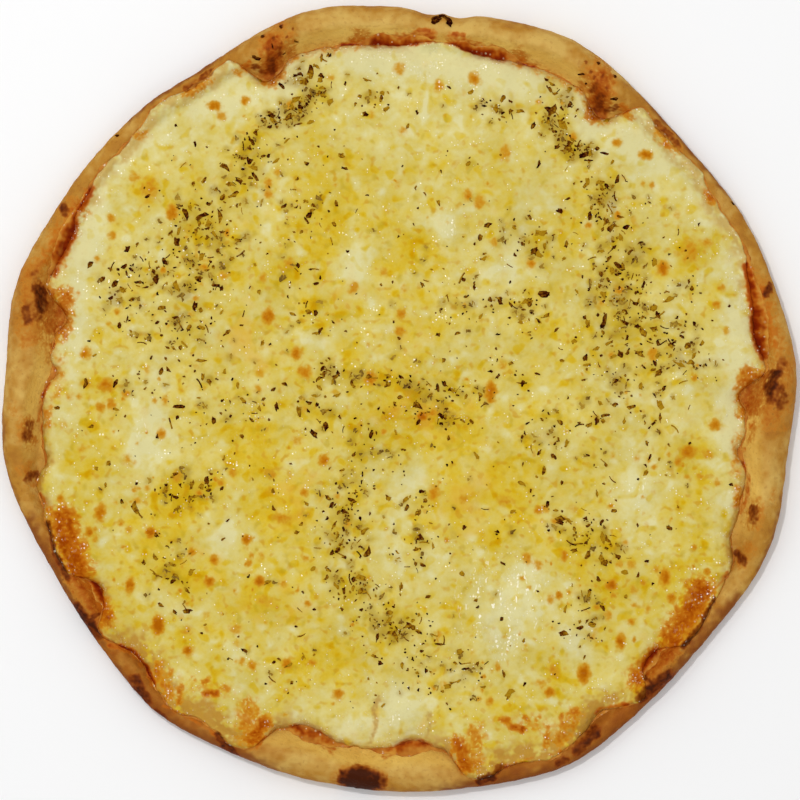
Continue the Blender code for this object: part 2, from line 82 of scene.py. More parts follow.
# %% Driving dimensions
# Swells as (bearing, spread, rise), and stretches as (start, end, softness, rise).
AXIS_TURN = 83.5
MEAN_RADIUS = 157.4
OUTLINE_SWELLS = (
    (2, 2.5, -2.4), (19, 9, 3), (42, 12, -3.3), (80, 9, 3.6), (106, 12, 4.3), (123, 19.5, -2.3),
    (149, 8, 2.5),
)
LEAN_SWELLS = ((-145, 23, 2.7), (-88, 14, -1.3), (46, 6, 1.7))
CHEESE_RADIUS = 144.0
CHEESE_STRETCHES = (
    (31.6, 80.4, 3.4, 5.5), (108, 125.5, 4, 5.5), (132.6, 164.7, 3.4, 7),
)
CHEESE_SWELLS = (
    (8, 5, -2.3), (28.5, 3, -5.5), (34, 2.4, 3.2), (45.6, 1.8, 3.4), (60, 3.5, 1.6), (72, 5, -2.3),
    (83, 1.8, -4.5), (88, 7, -3.5), (92.3, 1.6, -3.3), (121.5, 3, 1.3), (128.8, 1.8, -1.8),
    (134.8, 1.8, 1.8), (141, 3.5, -3.6), (150.5, 3, 3), (161, 3, 3.6), (171, 5, -7.3), (180, 4, -3),
)
BARE_DOUGH = 3.4
SAUCE_HAIRLINE = 0.5
SAUCE_SWELLS = (
    (4, 1.8, 2.2), (9, 3.2, 4.6), (71, 4.8, 3.6), (92.5, 1.6, 1.6), (129.3, 1.8, 3.4), (171, 2.6, 5),
)
RIM_WIDTH = 17.0
RIM_WIDTH_STRETCHES = (
    (31, 64, 8, -5.5), (64, 80.5, 5, -2.5), (106, 164, 10, -5.5),
)
RIM_WIDTH_SWELLS = ((27.5, 3.5, 1.5), (88, 7, 6), (129, 4.5, 3), (171, 5, 4.5))
print("mean radii in mm:", MEAN_RADIUS, "outline,", CHEESE_RADIUS, "cheese")

# %% Formulas of the plan


def ease(share):
    """A smooth step from 0 to 1."""
    share = np.clip(share, 0.0, 1.0)
    return share * share * (3.0 - 2.0 * share)


def swell(at, centre, spread, rise):
    """A smooth rise around one bearing."""
    return rise * np.exp(-(((at - centre) / spread) ** 2))


def stretch(at, start, end, softness, rise):
    """A level rise between two bearings, with soft ends."""
    return rise * ease((at - start) / softness + 0.5) * ease((end - at) / softness + 0.5)


def lean(bearing):
    """What one side has and the other hasn't."""
    return sum(swell(bearing, *one) for one in LEAN_SWELLS)


def outline(bearing):
    """Radius of the outer edge."""
    both = np.abs(bearing)
    return MEAN_RADIUS + sum(swell(both, *one) for one in OUTLINE_SWELLS) + lean(bearing)


def cheese_edge(bearing):
    """Radius where the cheese ends."""
    both = np.abs(bearing)
    runs = sum(stretch(both, *one) for one in CHEESE_STRETCHES)
    swells = sum(swell(both, *one) for one in CHEESE_SWELLS)
    free = CHEESE_RADIUS + runs + swells + lean(bearing)
    return np.minimum(free, outline(bearing) - BARE_DOUGH)


def sauce_edge(bearing):
    """Radius where the sauce ends."""
    shown = SAUCE_HAIRLINE + sum(swell(np.abs(bearing), *one) for one in SAUCE_SWELLS)
    return cheese_edge(bearing) + shown


def rim_width(bearing):
    """Width of the rim, from the outer edge to the floor."""
    both = np.abs(bearing)
    runs = sum(stretch(both, *one) for one in RIM_WIDTH_STRETCHES)
    return RIM_WIDTH + runs + sum(swell(both, *one) for one in RIM_WIDTH_SWELLS)


print("width at the bearing of 90 degrees", round(float(outline(90.0) + outline(-90.0)), 1))

# %% [markdown]
# ## From places to points
#
# The line of near symmetry leans a little, so every place is turned by the same angle. Turning the finished
# objects would be shorter, but an object has to stay unturned at the origin. The solids are centred on the
# box of their outline, and the fine surfaces have to land exactly on them, so the same middle is taken off.

# %% Places, bearings and the middle


def place(across, along):
    """The X and Y of a place."""
    turn = math.radians(AXIS_TURN)
    x = across * math.sin(turn) + along * math.cos(turn)
    y = along * math.sin(turn) - across * math.cos(turn)
    return x, y


def across_along(x, y):
    """The place of a point."""
    turn = math.radians(AXIS_TURN)
    across = x * math.sin(turn) - y * math.cos(turn)
    along = x * math.cos(turn) + y * math.sin(turn)
    return across, along


def bearing_of(x, y):
    """Bearing of a point, between -180 and 180."""
    bearing = np.degrees(np.arctan2(y, x)) - AXIS_TURN
    return (bearing + 180.0) % 360.0 - 180.0


def point_at(bearing, radius):
    """The X and Y at a bearing and a radius."""
    turn = np.radians(bearing + AXIS_TURN)
    return radius * np.cos(turn), radius * np.sin(turn)


def plan_centre(steps=120):
    """Middle of the outline's box, which is the origin of the solids."""
    bearings = np.arange(steps) * 360.0 / steps - AXIS_TURN
    bearings = (bearings + 180.0) % 360.0 - 180.0
    x, y = point_at(bearings, outline(bearings))
    return (x.min() + x.max()) / 2.0, (y.min() + y.max()) / 2.0


MIDDLE = plan_centre()
print("middle in mm", [round(float(one), 2) for one in MIDDLE])

# %% [markdown]
# ## Heights
#
# The dough is a flat floor with a raised rim, the sauce lies on it, and the cheese on that. These heights
# are the ones of the solids. The cheese runs thin over the rim, rounds off at its edge, and has soft domes
# where it bubbled. Each layer asks the one below for its height, so none can cut through another.

# %% Thicknesses, bubbles and domes
CREST_SHARE = 0.45
LOW_CREST = 10.6
HIGH_CREST = 16.6
NARROW_RIM = 10.5
WIDE_RIM = 18.5
SHOULDER_HEIGHT = 5.6
BASE_INSET = 9.0
FLOOR_HEIGHT = 4.5
CLEARANCE = 0.3
SAUCE_THICKNESS = 1.0
CHEESE_THICKNESS = 3.0
CHEESE_FILM = 1.2
LIP_WIDTH = 2.4
LIP_HEIGHT = 0.25
RELIEF_FADE_START = 0.55
RELIEF_FADE_LENGTH = 0.42
SMALL_DOME = 5.0
SMALL_DOME_SHARE = 0.35
DOME_SPREAD = 0.6
# Slow waves as (wavelength, height, seed).
DOUGH_WAVES = ((42, 0.45, 11), (13, 0.28, 12))
CHEESE_WAVES = ((52, 0.5, 21), (21, 0.3, 22))
# Bubbles of the rim, for both halves, and domes of the cheese, as (across, along, radius, rise).
RIM_BUBBLES = (
    (44, 149, 8, 1.5), (12, 152, 7, 0.8), (86, 124, 7, 0.8), (148, 24, 9, 1.1), (150, -6, 8, 0.7),
    (146, -46, 7, 0.9), (118, -96, 7, 1), (92, -126, 6, 1.2), (56, -146, 7, 1), (26, -148, 9, 0.7),
    (0, -153, 9, 1.1),
)
PAIRED_DOMES = (
    (109, 73, 8, 0.7), (75, 111.5, 3.2, 0.6), (87, 108.5, 4, 0.6), (15, 131, 3.4, 0.8),
    (57, 112, 4, 0.5), (99, 64, 4, 0.6), (60, 118, 7, 0.8), (127, 4, 3.6, 0.9), (117, -8, 4.4, 0.8),
    (100, -24, 13, 1), (114, -59, 4.6, 0.9), (117.5, -67, 3.8, 0.8), (93, -64.5, 4.2, 0.9),
    (99, -86, 4.2, 0.8), (86, -101, 4.2, 0.9), (74, -109.5, 3.6, 0.8), (63, -125, 5, 0.8),
    (78, -126, 6, 0.9), (128, -74, 8, 0.8), (40, -136, 9, 0.8),
)
SINGLE_DOMES = (
    (-56, 27, 3.6, 0.8), (-43, 14, 3.8, 0.7), (-38, 6.5, 4.2, 0.7), (36.5, 6.5, 4.2, 0.8),
    (-54, -63, 3.6, 0.9), (-47.5, -79, 3.8, 0.8), (-67.5, -81.5, 3.8, 0.8), (-27.5, -28, 3.6, 0.9),
    (23, 82, 4.2, 0.7), (13, 66, 12, 1), (56, -72, 14, 1), (15, -128, 10, 1.4), (-3, -131, 8, 1),
    (-11, -119, 4, 0.7),
)
print("bubbles", 2 * len(RIM_BUBBLES), "domes", 2 * len(PAIRED_DOMES) + len(SINGLE_DOMES))

# %% Crest, waves and domes


def on_both_halves(listed):
    """Each entry of a list for the right half and again for the left one."""
    found = []
    for across, *rest in listed:
        found.append((across, *rest))
        if across:
            found.append((-across, *rest))
    return found


def rim_top(bearing):
    """Height of the rim's crest, which is low where the rim is narrow."""
    share = ease((rim_width(bearing) - NARROW_RIM) / (WIDE_RIM - NARROW_RIM))
    return LOW_CREST + (HIGH_CREST - LOW_CREST) * share


def waves(x, y, wavelength, height, seed):
    """Slow rises and falls, made of a few crossing ripples."""
    dice = random.Random(seed)
    ripples = 9
    total = 0.0
    for _ in range(ripples):
        turn = dice.uniform(0.0, math.tau)
        pitch = math.tau / (wavelength * dice.uniform(0.75, 1.35))
        phase = dice.uniform(0.0, math.tau)
        total = total + np.sin(pitch * (x * math.cos(turn) + y * math.sin(turn)) + phase)
    return total * height / math.sqrt(ripples / 2.0)


def domes(x, y, listed):
    """Soft round rises, given by their places. The small ones of the solids are lower here, as in life."""
    total = 0.0
    for across, along, radius, rise in listed:
        rise = rise if radius > SMALL_DOME else SMALL_DOME_SHARE * rise
        middle = place(across, along)
        apart = (x - middle[0]) ** 2 + (y - middle[1]) ** 2
        total = total + rise * np.exp(-apart / (DOME_SPREAD * radius * radius))
    return total


print("lowest and highest crest in mm", LOW_CREST, HIGH_CREST)

# %% Heights of dough and cheese


def dough_top(x, y):
    """Height of the dough's upper surface, from the floor over the rim to its shoulder."""
    bearing = bearing_of(x, y)
    inset = outline(bearing) - np.hypot(x, y)
    width = rim_width(bearing)
    crest = CREST_SHARE * width
    top = rim_top(bearing)
    down = np.clip((inset - crest) / (width - crest), 0.0, 1.0)
    inner = FLOOR_HEIGHT + (top - FLOOR_HEIGHT) * 0.5 * (1.0 + np.cos(math.pi * down))
    out = np.clip((crest - inset) / crest, 0.0, 1.0)
    outer = SHOULDER_HEIGHT + (top - SHOULDER_HEIGHT) * np.sqrt(1.0 - out * out)
    relief = domes(x, y, on_both_halves(RIM_BUBBLES))
    relief = relief + sum(waves(x, y, *one) for one in DOUGH_WAVES)
    fade = 1.0 - ease((inset - RELIEF_FADE_START * width) / (RELIEF_FADE_LENGTH * width))
    relief = relief * ease(inset / crest) * fade
    return np.where(inset > crest, inner, outer) + relief


def cheese_bottom(x, y):
    """Height of the cheese's lower surface."""
    return dough_top(x, y) + 2.0 * CLEARANCE + SAUCE_THICKNESS


def cheese_top(x, y):
    """Height of the cheese's upper surface, thin over the rim and rounded at its edge."""
    bearing = bearing_of(x, y)
    radius = np.hypot(x, y)
    inset = outline(bearing) - radius
    width = rim_width(bearing)
    body = ease((inset - 0.5 * width) / (0.5 * width))
    thick = CHEESE_FILM + (CHEESE_THICKNESS - CHEESE_FILM) * body
    relief = domes(x, y, on_both_halves(PAIRED_DOMES) + list(SINGLE_DOMES))
    relief = relief + sum(waves(x, y, *one) for one in CHEESE_WAVES)
    thick = thick + relief * (LIP_HEIGHT + (1.0 - LIP_HEIGHT) * body)
    past = np.clip((cheese_edge(bearing) - radius) / LIP_WIDTH, 0.0, 1.0)
    lip = LIP_HEIGHT + (1.0 - LIP_HEIGHT) * np.sqrt(1.0 - (1.0 - past) ** 2)
    return cheese_bottom(x, y) + thick * lip


print("height of the cheese in the middle", round(float(cheese_top(np.zeros(1), np.zeros(1))[0]), 1))

# %% [markdown]
# ## Where it browned
#
# An oven browns a pizza unevenly: the rim chars on its bubbles, sauce that ran out turns red-brown, and
# cheese that lies thin over the rim toasts orange. Such marks could be painted on an image. Here each kind
# is listed as smears, which are short strokes with a soft edge, and a number at every corner of the mesh
# says how strong the mark is there. The materials read those numbers, so a mark crosses from the crust to
# the cheese without a seam, and no image is needed.

# %% Marks on the rim and along the edge of the cheese
# Smears as (from across, from along, to across, to along, reach, strength), for both halves.
CHARRED = (
    (66, 125.5, 66.5, 129, 2.2, 0.7), (69, 124, 73, 126, 1.2, 0.6), (63, 131.5, 64, 134, 1.2, 0.6),
    (64, 142.5, 64.2, 143, 0.7, 0.7), (61, 139, 61.2, 138.5, 0.6, 0.7), (66.5, 138, 66, 137, 0.6, 0.7),
    (70.5, 138.5, 71, 138, 0.7, 0.7), (63, 137, 62.8, 136, 0.6, 0.6), (59, 142.5, 59.2, 142, 0.5, 0.6),
    (68, 133, 68.3, 132, 0.7, 0.6), (90, 121.5, 99, 114, 1.6, 0.5),
    (141.5, 58.5, 142.5, 61.5, 1.7, 0.8), (146.5, 20, 148.5, 27, 2.4, 1), (149, 27, 150.5, 33, 2, 0.45),
    (151.5, 14.5, 152.5, 18.5, 2, 0.75), (150.5, 20, 148, 17, 2.6, 0.55),
    (146, -27, 146.5, -33, 1.6, 0.6), (142, -46.5, 144.5, -49, 1.7, 0.7),
    (134.5, -65, 130, -77, 1, 0.8), (130, -77, 124, -86, 1.3, 0.8),
    (119.5, -98, 110, -107.5, 2.6, 0.95), (113, -101.5, 110.5, -99.5, 0.9, 0.9),
    (93, -123.5, 87, -132, 2.4, 0.85), (83, -136, 80, -138, 1.6, 0.8), (57, -142, 54, -146, 1.5, 0.8),
    (54, -146, 49.5, -148.5, 1.9, 0.9),
)
TOASTED = (
    (65, 146, 65, 136, 3.6, 0.5), (66, 136, 66, 124, 4.6, 1.25), (60, 138, 59, 132, 3, 0.6),
    (75, 126, 79, 123, 2, 0.6), (32, 142.5, 33, 141, 3.2, 0.7), (31, 141, 52, 134, 3, 0.25),
    (92, 118, 98, 113, 3, 0.7), (116, 93, 113.5, 95, 2, 0.5), (146, 38, 138, 62, 5, 0.6),
    (151, 33, 149, 10, 6.5, 0.6), (138, 25, 139, 12, 4, 1), (144, 26, 142.5, 12, 2.6, 0.9),
    (142.5, 8, 141.5, -1, 1.6, 0.5), (137, 2, 137, -14, 2.6, 0.35), (139, -21, 139.5, -26, 2, 0.6),
    (147, -27, 146, -34, 3.6, 0.5), (146, -44, 143, -50, 3.2, 0.45), (154, -20, 153, -23, 2.6, 0.25),
    (129, -63, 125, -73, 5.2, 1.2), (124.5, -73, 119.5, -83, 4.8, 1.2), (120, -86, 108, -100, 4.4, 1.1),
    (84, -118.5, 79, -128, 3.2, 0.6), (76, -124, 62, -124, 4.4, 0.25), (62, -124, 52, -124.5, 3, 0.2),
    (64, -126.2, 60, -125.6, 1.4, 1.15), (65.5, -121.8, 64, -121.2, 1.1, 0.95),
    (57.5, -123, 55, -123.4, 1.3, 0.7), (74, -124, 74, -131, 1.2, 0.75),
    (79, -119.5, 79, -118.5, 1.2, 0.8), (79, -128.5, 78.5, -127, 1.2, 0.7),
    (69, -122, 70, -120.5, 1.1, 0.6), (84.5, -116, 84, -123, 1.6, 0.75), (46, -130, 46, -141, 4.2, 0.6),
    (39, -134.5, 43, -143, 2.8, 1.1),
)
SAUCED = (
    (4, 145.5, 12, 144.2, 2.4, 1), (12, 144.2, 26, 141.6, 2.4, 0.85), (5, 147.5, 9, 147.6, 1, 1.3),
    (9, 142.6, 24, 140.8, 0.8, 1.3), (32, 142, 33, 141, 2.2, 0.5), (34, 139.5, 39, 139, 0.7, 0.9),
    (75, 127, 78, 124.5, 1.1, 0.9), (110, 98.5, 115, 93.5, 1.2, 0.8), (128, 73, 132, 66, 1.3, 0.7),
    (132, 68, 141.5, 34, 2.6, 1.2), (139, 59, 145, 40, 3, 0.7), (141, 6, 141, 5, 1, 0.9),
    (139.5, -4, 139.5, -5, 0.9, 0.8), (140, -10, 143, -16, 0.8, 0.8), (143, -16, 143, -25, 0.8, 0.8),
    (143, -25, 141, -30, 0.8, 0.7), (138.5, -54, 134.5, -61, 0.9, 0.6),
    (119.5, -85, 115, -88.5, 1.1, 0.8), (113, -88, 109, -96, 1.8, 1), (110, -105, 104, -111, 1, 0.7),
    (104, -111, 95, -112.5, 1.4, 1.1), (95, -112.5, 88, -119, 1.4, 1.1), (88, -119, 85, -125, 1.3, 1),
    (80, -133, 69, -136.5, 0.8, 0.55), (69, -136.5, 60, -141, 0.8, 0.55), (60, -141, 56, -143, 1, 0.7),
    (34, -134.5, 41, -144.5, 0.8, 0.7), (27, -136, 17, -138, 1.8, 0.75),
    (17, -138, 11, -142.5, 2, 0.75),
)
# Folds between lumps of the cheese, in the same form, but each on its own side only.
CREASES = (
    (5.5, -120, 3.8, -125, 1.3, 0.8), (3.8, -125, 5.6, -131, 1, 0.8), (5.6, -131, 4.2, -138, 0.8, 0.7),
    (26, -124, 27, -129, 1.1, 0.6), (27, -129, 26, -134, 0.8, 0.6),
)
# Round burnt bubbles, as (across, along, reach across, reach along, strength).
BURNT_BUBBLES = ((1.8, -153.4, 9.2, 5.4, 1.3),)
# Outer edge, darker where the rim is thin, as (start, end, softness, depth, strength) by bearing.
DARK_EDGES = (
    (33, 52, 5, 3.4, 0.8), (98, 113, 8, 4, 0.5), (113, 137, 6, 10, 0.8), (138, 150, 6, 5, 0.8),
    (148, 168, 8, 6.5, 0.9),
)
# The cheese's own edge, thin and tanned, in the same form.
TANNED_EDGES = (
    (0, 30, 6, 3, 0.4), (30, 66, 6, 9, 1), (66, 104, 8, 4.5, 0.7), (104, 137, 8, 6, 0.8),
    (136, 168, 7, 14, 1.3), (166, 181, 5, 4, 0.6),
)
# Where the dough browned more, as (bearing, spread, amount).
BROWN_BEARINGS = (
    (40, 14, 0.25), (82, 9, 0.45), (120, 7, 0.45), (136, 8, 1), (151, 8, 0.8), (162, 6, 0.7),
)
# Pale bubbles of the dough, as soft ovals: (across, along, reach across, reach along, amount). The two wide
# ones at along 147 and 149 are painted light, which lightens the rim's inner slope against the shade there.
PALE_DOUGH_AND_PAINTED_LIGHT = (
    (45, 148, 10, 6, 0.9), (70, 143, 6, 6, 0.5), (14, 154, 8, 5, 0.5), (118, 101, 6, 6, 0.4),
    (150, 44, 5, 8, 0.5), (155, 2, 5, 8, 0.5), (152, -18, 7, 15, 0.6), (141, -60, 5, 8, 0.5),
    (27, -151, 9, 4, 0.6), (-44, -150, 7, 4, 0.4), (26, 147, 14, 5, 1.2), (0, 149, 14, 3.5, 0.8),
    (144.5, -12, 5, 14, 0.2), (20, -145, 16, 4, 0.7), (40, -150, 6, 4, 0.5),
)
print("smears for each half", len(CHARRED) + len(TOASTED) + len(SAUCED))

# %% How strong a mark is at a point
MARK_GRAIN = (2.2, 3)
SMEAR_UNEVENNESS = 0.32
BUBBLE_UNEVENNESS = 0.1


def smear_marks(x, y, listed, rough, softness, both=True):
    """How strong a kind of mark is at each point, with edges made uneven by a rough number."""
    marks = np.zeros(len(x))
    listed = on_both_halves_of_smears(listed) if both else listed
    for from_across, from_along, to_across, to_along, reach, strength in listed:
        start = np.array(place(from_across, from_along))
        run = np.array(place(to_across, to_along)) - start
        share = ((x - start[0]) * run[0] + (y - start[1]) * run[1]) / max(float(run @ run), 1e-6)
        share = np.clip(share, 0.0, 1.0)
        apart = np.hypot(x - start[0] - share * run[0], y - start[1] - share * run[1]) / reach
        depth = ease((1.0 + softness + SMEAR_UNEVENNESS * rough - apart) / (2.0 * softness))
        marks = np.maximum(marks, strength * depth)
    return marks


def bubble_marks(x, y, listed, rough, softness):
    """How strong round marks are, with nearly even edges."""
    across, along = across_along(x, y)
    marks = np.zeros(len(x))
    for middle_across, middle_along, reach_across, reach_along, strength in listed:
        apart = np.hypot((across - middle_across) / reach_across, (along - middle_along) / reach_along)
        depth = ease((1.0 + softness + BUBBLE_UNEVENNESS * rough - apart) / (2.0 * softness))
        marks = np.maximum(marks, strength * depth)
    return marks


def on_both_halves_of_smears(listed):
    """Each smear for the right half and again, turned over, for the left one."""
    found = []
    for from_across, from_along, to_across, to_along, reach, strength in listed:
        found.append((from_across, from_along, to_across, to_along, reach, strength))
        found.append((-from_across, from_along, -to_across, to_along, reach, strength))
    return found


def grain(x, y, size, seed):
    """Smooth chance numbers, about -1 to 1, that change over a given size."""
    found = [noise.noise(Vector((a / size, b / size, 7.3 * seed))) for a, b in zip(x, y)]
    return np.array(found) * 1.6


def edge_marks(bearing, inset, listed):
    """How strong a mark is that runs along an edge, from how far inside the edge each point lies."""
    marks = np.zeros(len(bearing))
    for start, end, softness, depth, strength in listed:
        along = stretch(np.abs(bearing), start, end, softness, strength)
        marks = np.maximum(marks, along * (1.0 - ease(inset / depth)))
    return marks


print("bubbles burnt", len(BURNT_BUBBLES))

# %% [markdown]
# ## Where the cheese is white, golden or blistered
#
# Four cheeses melt at different rates, so the sheet is creamy white in places and buttery gold in others.
# Small blisters of fat toast to orange. The larger patches and blisters stand where they show most, and the
# small ones are drawn by chance with a fixed seed. A noise texture alone would spread them evenly, and an
# evenly patterned cheese looks made by a machine.

# %% Patches of the cheese
# Patches as (across, along, reach across, reach along, amount): above 0 more golden, below 0 whiter.
PAIRED_PATCHES = (
    (82, 112, 15, 10, -0.75), (60, 120, 6, 6, -0.7), (32, 132, 12, 6, -0.5), (112, 92, 12, 10, -0.4),
    (132, 50, 6, 30, -0.8), (132, 0, 5, 26, -0.5), (99, -27, 9, 18, -0.95), (72, 97, 3.5, 9, 0.75),
    (110, 73, 6, 7, 1.1), (121, 57, 4, 8, 0.5), (120, -7, 8, 4, 0.8), (122, -30, 8, 16, 0.3),
    (84, -52, 14, 9, 0.8), (92, -67, 7, 7, 0.7), (118, -60, 9, 9, 0.35), (75, -104, 5, 9, 0.6),
    (88, 60, 14, 20, 0.3), (100, 85, 14, 6, 0.1), (80, -93, 8, 6, -0.6),
)
SINGLE_PATCHES = (
    (0, 136, 24, 7, -1), (-15, 112, 5, 16, -0.45), (10, 112, 4, 12, -0.4), (-38, 66, 20, 22, 0.55),
    (2, 60, 9, 7, 0.9), (-12, 52, 8, 5, 0.6), (-23, 53, 6, 10, -1.5), (-50, 46, 5, 5, 0.9),
    (-35, 32, 9, 6, 0.6), (12, 71, 6, 9, -0.95), (-60, 72, 8, 9, -0.6), (-45, 84, 9, 4, 0.5),
    (40, 62, 6, 14, -0.4), (26, 50, 16, 12, -0.3), (-38, 20, 10, 4, -0.7), (-55, -26, 14, 13, 0.75),
    (50, -28, 12, 16, 0.75), (-64, -61, 8, 9, -1.1), (-82, -50, 10, 8, 0.5), (-42, -48, 12, 12, 0.7),
    (-78, -82, 10, 7, 0.7), (-48, -86, 16, 10, 0.55), (-20, -108, 14, 8, 0.6), (10, -6, 22, 12, 0.9),
    (-8, 8, 10, 10, 0.5), (-14, -20, 10, 12, 0.5), (82, -76, 14, 14, -0.35), (58, -16, 14, 10, -0.4),
    (30, -40, 12, 14, 0.6), (44, -54, 6, 6, 0.6), (3, -56, 5, 16, -0.8), (8, -32, 6, 7, -0.8),
    (53, -80, 14, 20, -0.95), (62, -62, 9, 8, -0.5), (23, -66, 10, 12, -0.3), (14, -124, 9, 9, -1.3),
    (-4, -133, 9, 5, -0.8), (-52, -108, 10, 5, -0.4), (38, -108, 8, 6, -0.5), (28, 100, 4, 9, 0.35),
    (-3, 118, 0.9, 6.5, -1.5), (-70, 20, 8, 10, 0.3),
)
# How much whiter the outer part is, as (start, end, softness, amount, depth): bearings, then how far in.
WHITE_EDGES = (
    (-1, 62, 10, -0.35, 18), (60, 104, 10, -0.25, 18), (165, 181, 8, -0.3, 18), (30, 60, 10, 0.2, 9),
    (118, 160, 10, 0.25, 12), (-1, 92, 16, -0.3, 75),
)
# Lighter and darker parts of the sheet, in the form of the patches; the amount is a share of the brightness.
LIGHT_PATCHES = (
    (-75, -20, 30, 30, 0.03), (-45, -60, 25, 25, 0.03), (50, -45, 18, 25, 0.03),
    (88, -88, 25, 25, 0.02), (62, 62, 24, 24, -0.04), (-66, 18, 18, 14, -0.05),
    (-8, -22, 10, 12, -0.08), (8, -28, 10, 8, -0.03),
)
# Warm patches, towards orange, in the same form.
PEACH_PATCHES = (
    (-38, -44, 11, 11, 0.7), (31, -38, 11, 14, 0.8), (12, -4, 22, 9, 0.7), (-66, 18, 6, 8, 1.3),
    (-58, 8, 8, 6, 0.7), (-40, -88, 14, 10, 0.5), (-30, 40, 14, 10, 0.4), (0, 24, 10, 12, 0.4),
    (-68, -72, 10, 8, 0.4), (5, -128, 1.6, 7, 0.9), (24.5, -128, 1.6, 6, 0.9),
)
# Green-brown patches round thick sprinklings of herbs, in the same form.
OLIVE_PATCHES = (
    (-85, 62, 14, 18, 0.6), (85, 62, 14, 18, 0.7), (-90, 30, 18, 16, 0.4), (95, 30, 18, 16, 0.5),
    (-54, 114, 14, 7, 0.7), (54, 114, 14, 7, 0.7), (28, 122, 12, 5, 0.6), (72, 90, 8, 10, 0.6),
    (-72, 90, 8, 10, 0.6), (-14, -46, 9, 16, 0.8), (-12, -24, 8, 9, 0.5), (-8, -78, 14, 12, 0.6),
    (10, -94, 14, 9, 0.6), (30, -106, 12, 8, 0.5), (48, 68, 9, 9, 0.6), (26, 42, 16, 10, 0.45),
    (-34, 72, 8, 8, 0.5), (84, -48, 9, 8, 0.4), (-82, -48, 9, 8, 0.4), (-25, 7, 8, 3.5, 0.8),
    (14, 7, 20, 3.5, 0.9),
)
print("patches", 2 * len(PAIRED_PATCHES) + len(SINGLE_PATCHES))

# %% Blisters of the cheese
# Blisters as (across, along, reach across, reach along, toast).
PAIRED_BLISTERS = (
    (15, 131.5, 2.6, 2.6, 0.5), (57, 112, 2, 2, 0.6), (75, 112, 2, 1.8, 0.75), (87, 108.5, 3, 2, 0.8),
    (42, 125, 1.5, 1.5, 0.5), (109, 72, 4, 5.5, 0.5), (115.5, 76, 2.4, 2.2, 0.55),
    (99, 64, 2.6, 3.2, 0.8), (123, 59, 2, 2, 0.5), (122, 52, 1.8, 2, 0.6), (127, 42, 1.6, 1.8, 0.5),
    (116.5, 22, 1.5, 1.5, 0.6), (127, 4, 2.5, 2.5, 0.7), (117.5, -8, 3.6, 2.8, 0.75),
    (125, -8, 3, 2, 0.5), (118, -18, 1.2, 1.2, 0.5), (110, -10, 1.2, 1.2, 0.5),
    (130.5, -55, 1.5, 1.8, 0.7), (123, -61.5, 1.5, 1.5, 0.7), (114, -59, 2.3, 4, 0.8),
    (117.5, -67, 2, 2.2, 0.8), (105.5, -62, 1.4, 1.4, 0.6), (93, -64.5, 2.4, 2.3, 0.95),
    (103, -71.5, 1.2, 1.2, 0.5), (96.5, -47, 1.4, 1.4, 0.5), (99, -86.5, 2, 3.6, 0.85),
    (86, -101, 2.6, 4.2, 1), (74, -102, 2.6, 2.6, 0.4), (73, -110, 2.2, 2.2, 0.85),
    (63, -37, 1.8, 1.8, 0.6), (47.5, -35.5, 3, 2.4, 0.4), (67.5, -41.5, 2, 1.8, 0.5),
)
SINGLE_BLISTERS = (
    (15.5, 131, 2.2, 2.4, 0.75), (11, 125, 2, 2, 0.2), (-56, 27, 2.6, 3.6, 0.8),
    (-43, 13.5, 2.2, 2.8, 0.8), (-39, 6.5, 3, 2.8, 0.7), (-12.5, 7, 2.8, 3.2, 0.7), (-57, 4, 2, 2, 0.5),
    (-57, -2.5, 2, 2, 0.45), (-3, 27, 2.2, 2.2, 0.6), (-3, 34, 2, 2.6, 0.6),
    (-27.5, -28, 2.4, 2.4, 0.75), (-39, -21, 2.6, 2.2, 0.4), (-54.5, -63, 2.1, 2.1, 0.9),
    (-47.5, -79, 2.3, 2.3, 0.9), (-66.5, -72.5, 2, 2, 0.8), (-67.5, -81.5, 2.2, 2.2, 0.85),
    (-76, -70.5, 1.8, 1.8, 0.75), (-37.5, -79, 1.6, 1.6, 0.5), (-45, -86.5, 3, 2.6, 0.4),
    (-41, -53, 4.6, 2.2, 0.55), (-15, -52, 1.6, 1.6, 0.5), (-55, -99, 2.8, 2.6, 0.45),
    (-33, -110.5, 2.3, 2.3, 0.75), (-23, -109, 1.8, 1.8, 0.6), (-11, -120.5, 2.5, 2.5, 0.75),
    (-12, 50, 2, 2, 0.5), (-24, 41, 2.2, 2, 0.5), (-50, 49, 2.4, 2.4, 0.55), (-60, 42, 1.8, 2, 0.5),
    (-76, 41, 1.8, 2, 0.5), (-62, 80, 1.8, 2.4, 0.6), (-59, 85, 1.6, 1.8, 0.5),
    (-24, 112, 1.6, 1.8, 0.4), (36, 7, 2.6, 5, 0.75), (23, 82, 2.4, 3.2, 0.55), (31, 103, 2.4, 4, 0.5),
    (82.5, 53.5, 2.2, 2.2, 0.6), (76, 47.5, 1.8, 1.8, 0.45), (10, -6, 2.4, 2.2, 0.9),
    (14, -4, 2.2, 1.8, 0.6), (18, -36, 2.6, 3.4, 0.6), (30, -37, 2, 2.4, 0.45),
    (46, -36, 2.8, 2.4, 0.5), (60.5, -38, 2, 2, 0.6), (58.5, -59, 1.8, 1.8, 0.5),
    (31, -112, 2, 2, 0.45), (57.5, -124, 2, 2, 0.5),
)
SMALL_BLISTERS = 280
BLISTER_SEED = 8
BLISTER_RADIUS = 136.0
BLISTER_UNEVENNESS = 0.15
BLISTER_SOFTNESS = 1.4
LOWER_SIDES = (92.0, 160.0)
LOWER_RADII = (80.0, BLISTER_RADIUS)
print("blisters", 2 * len(PAIRED_BLISTERS) + len(SINGLE_BLISTERS) + SMALL_BLISTERS)

# %% How strong patches and blisters are


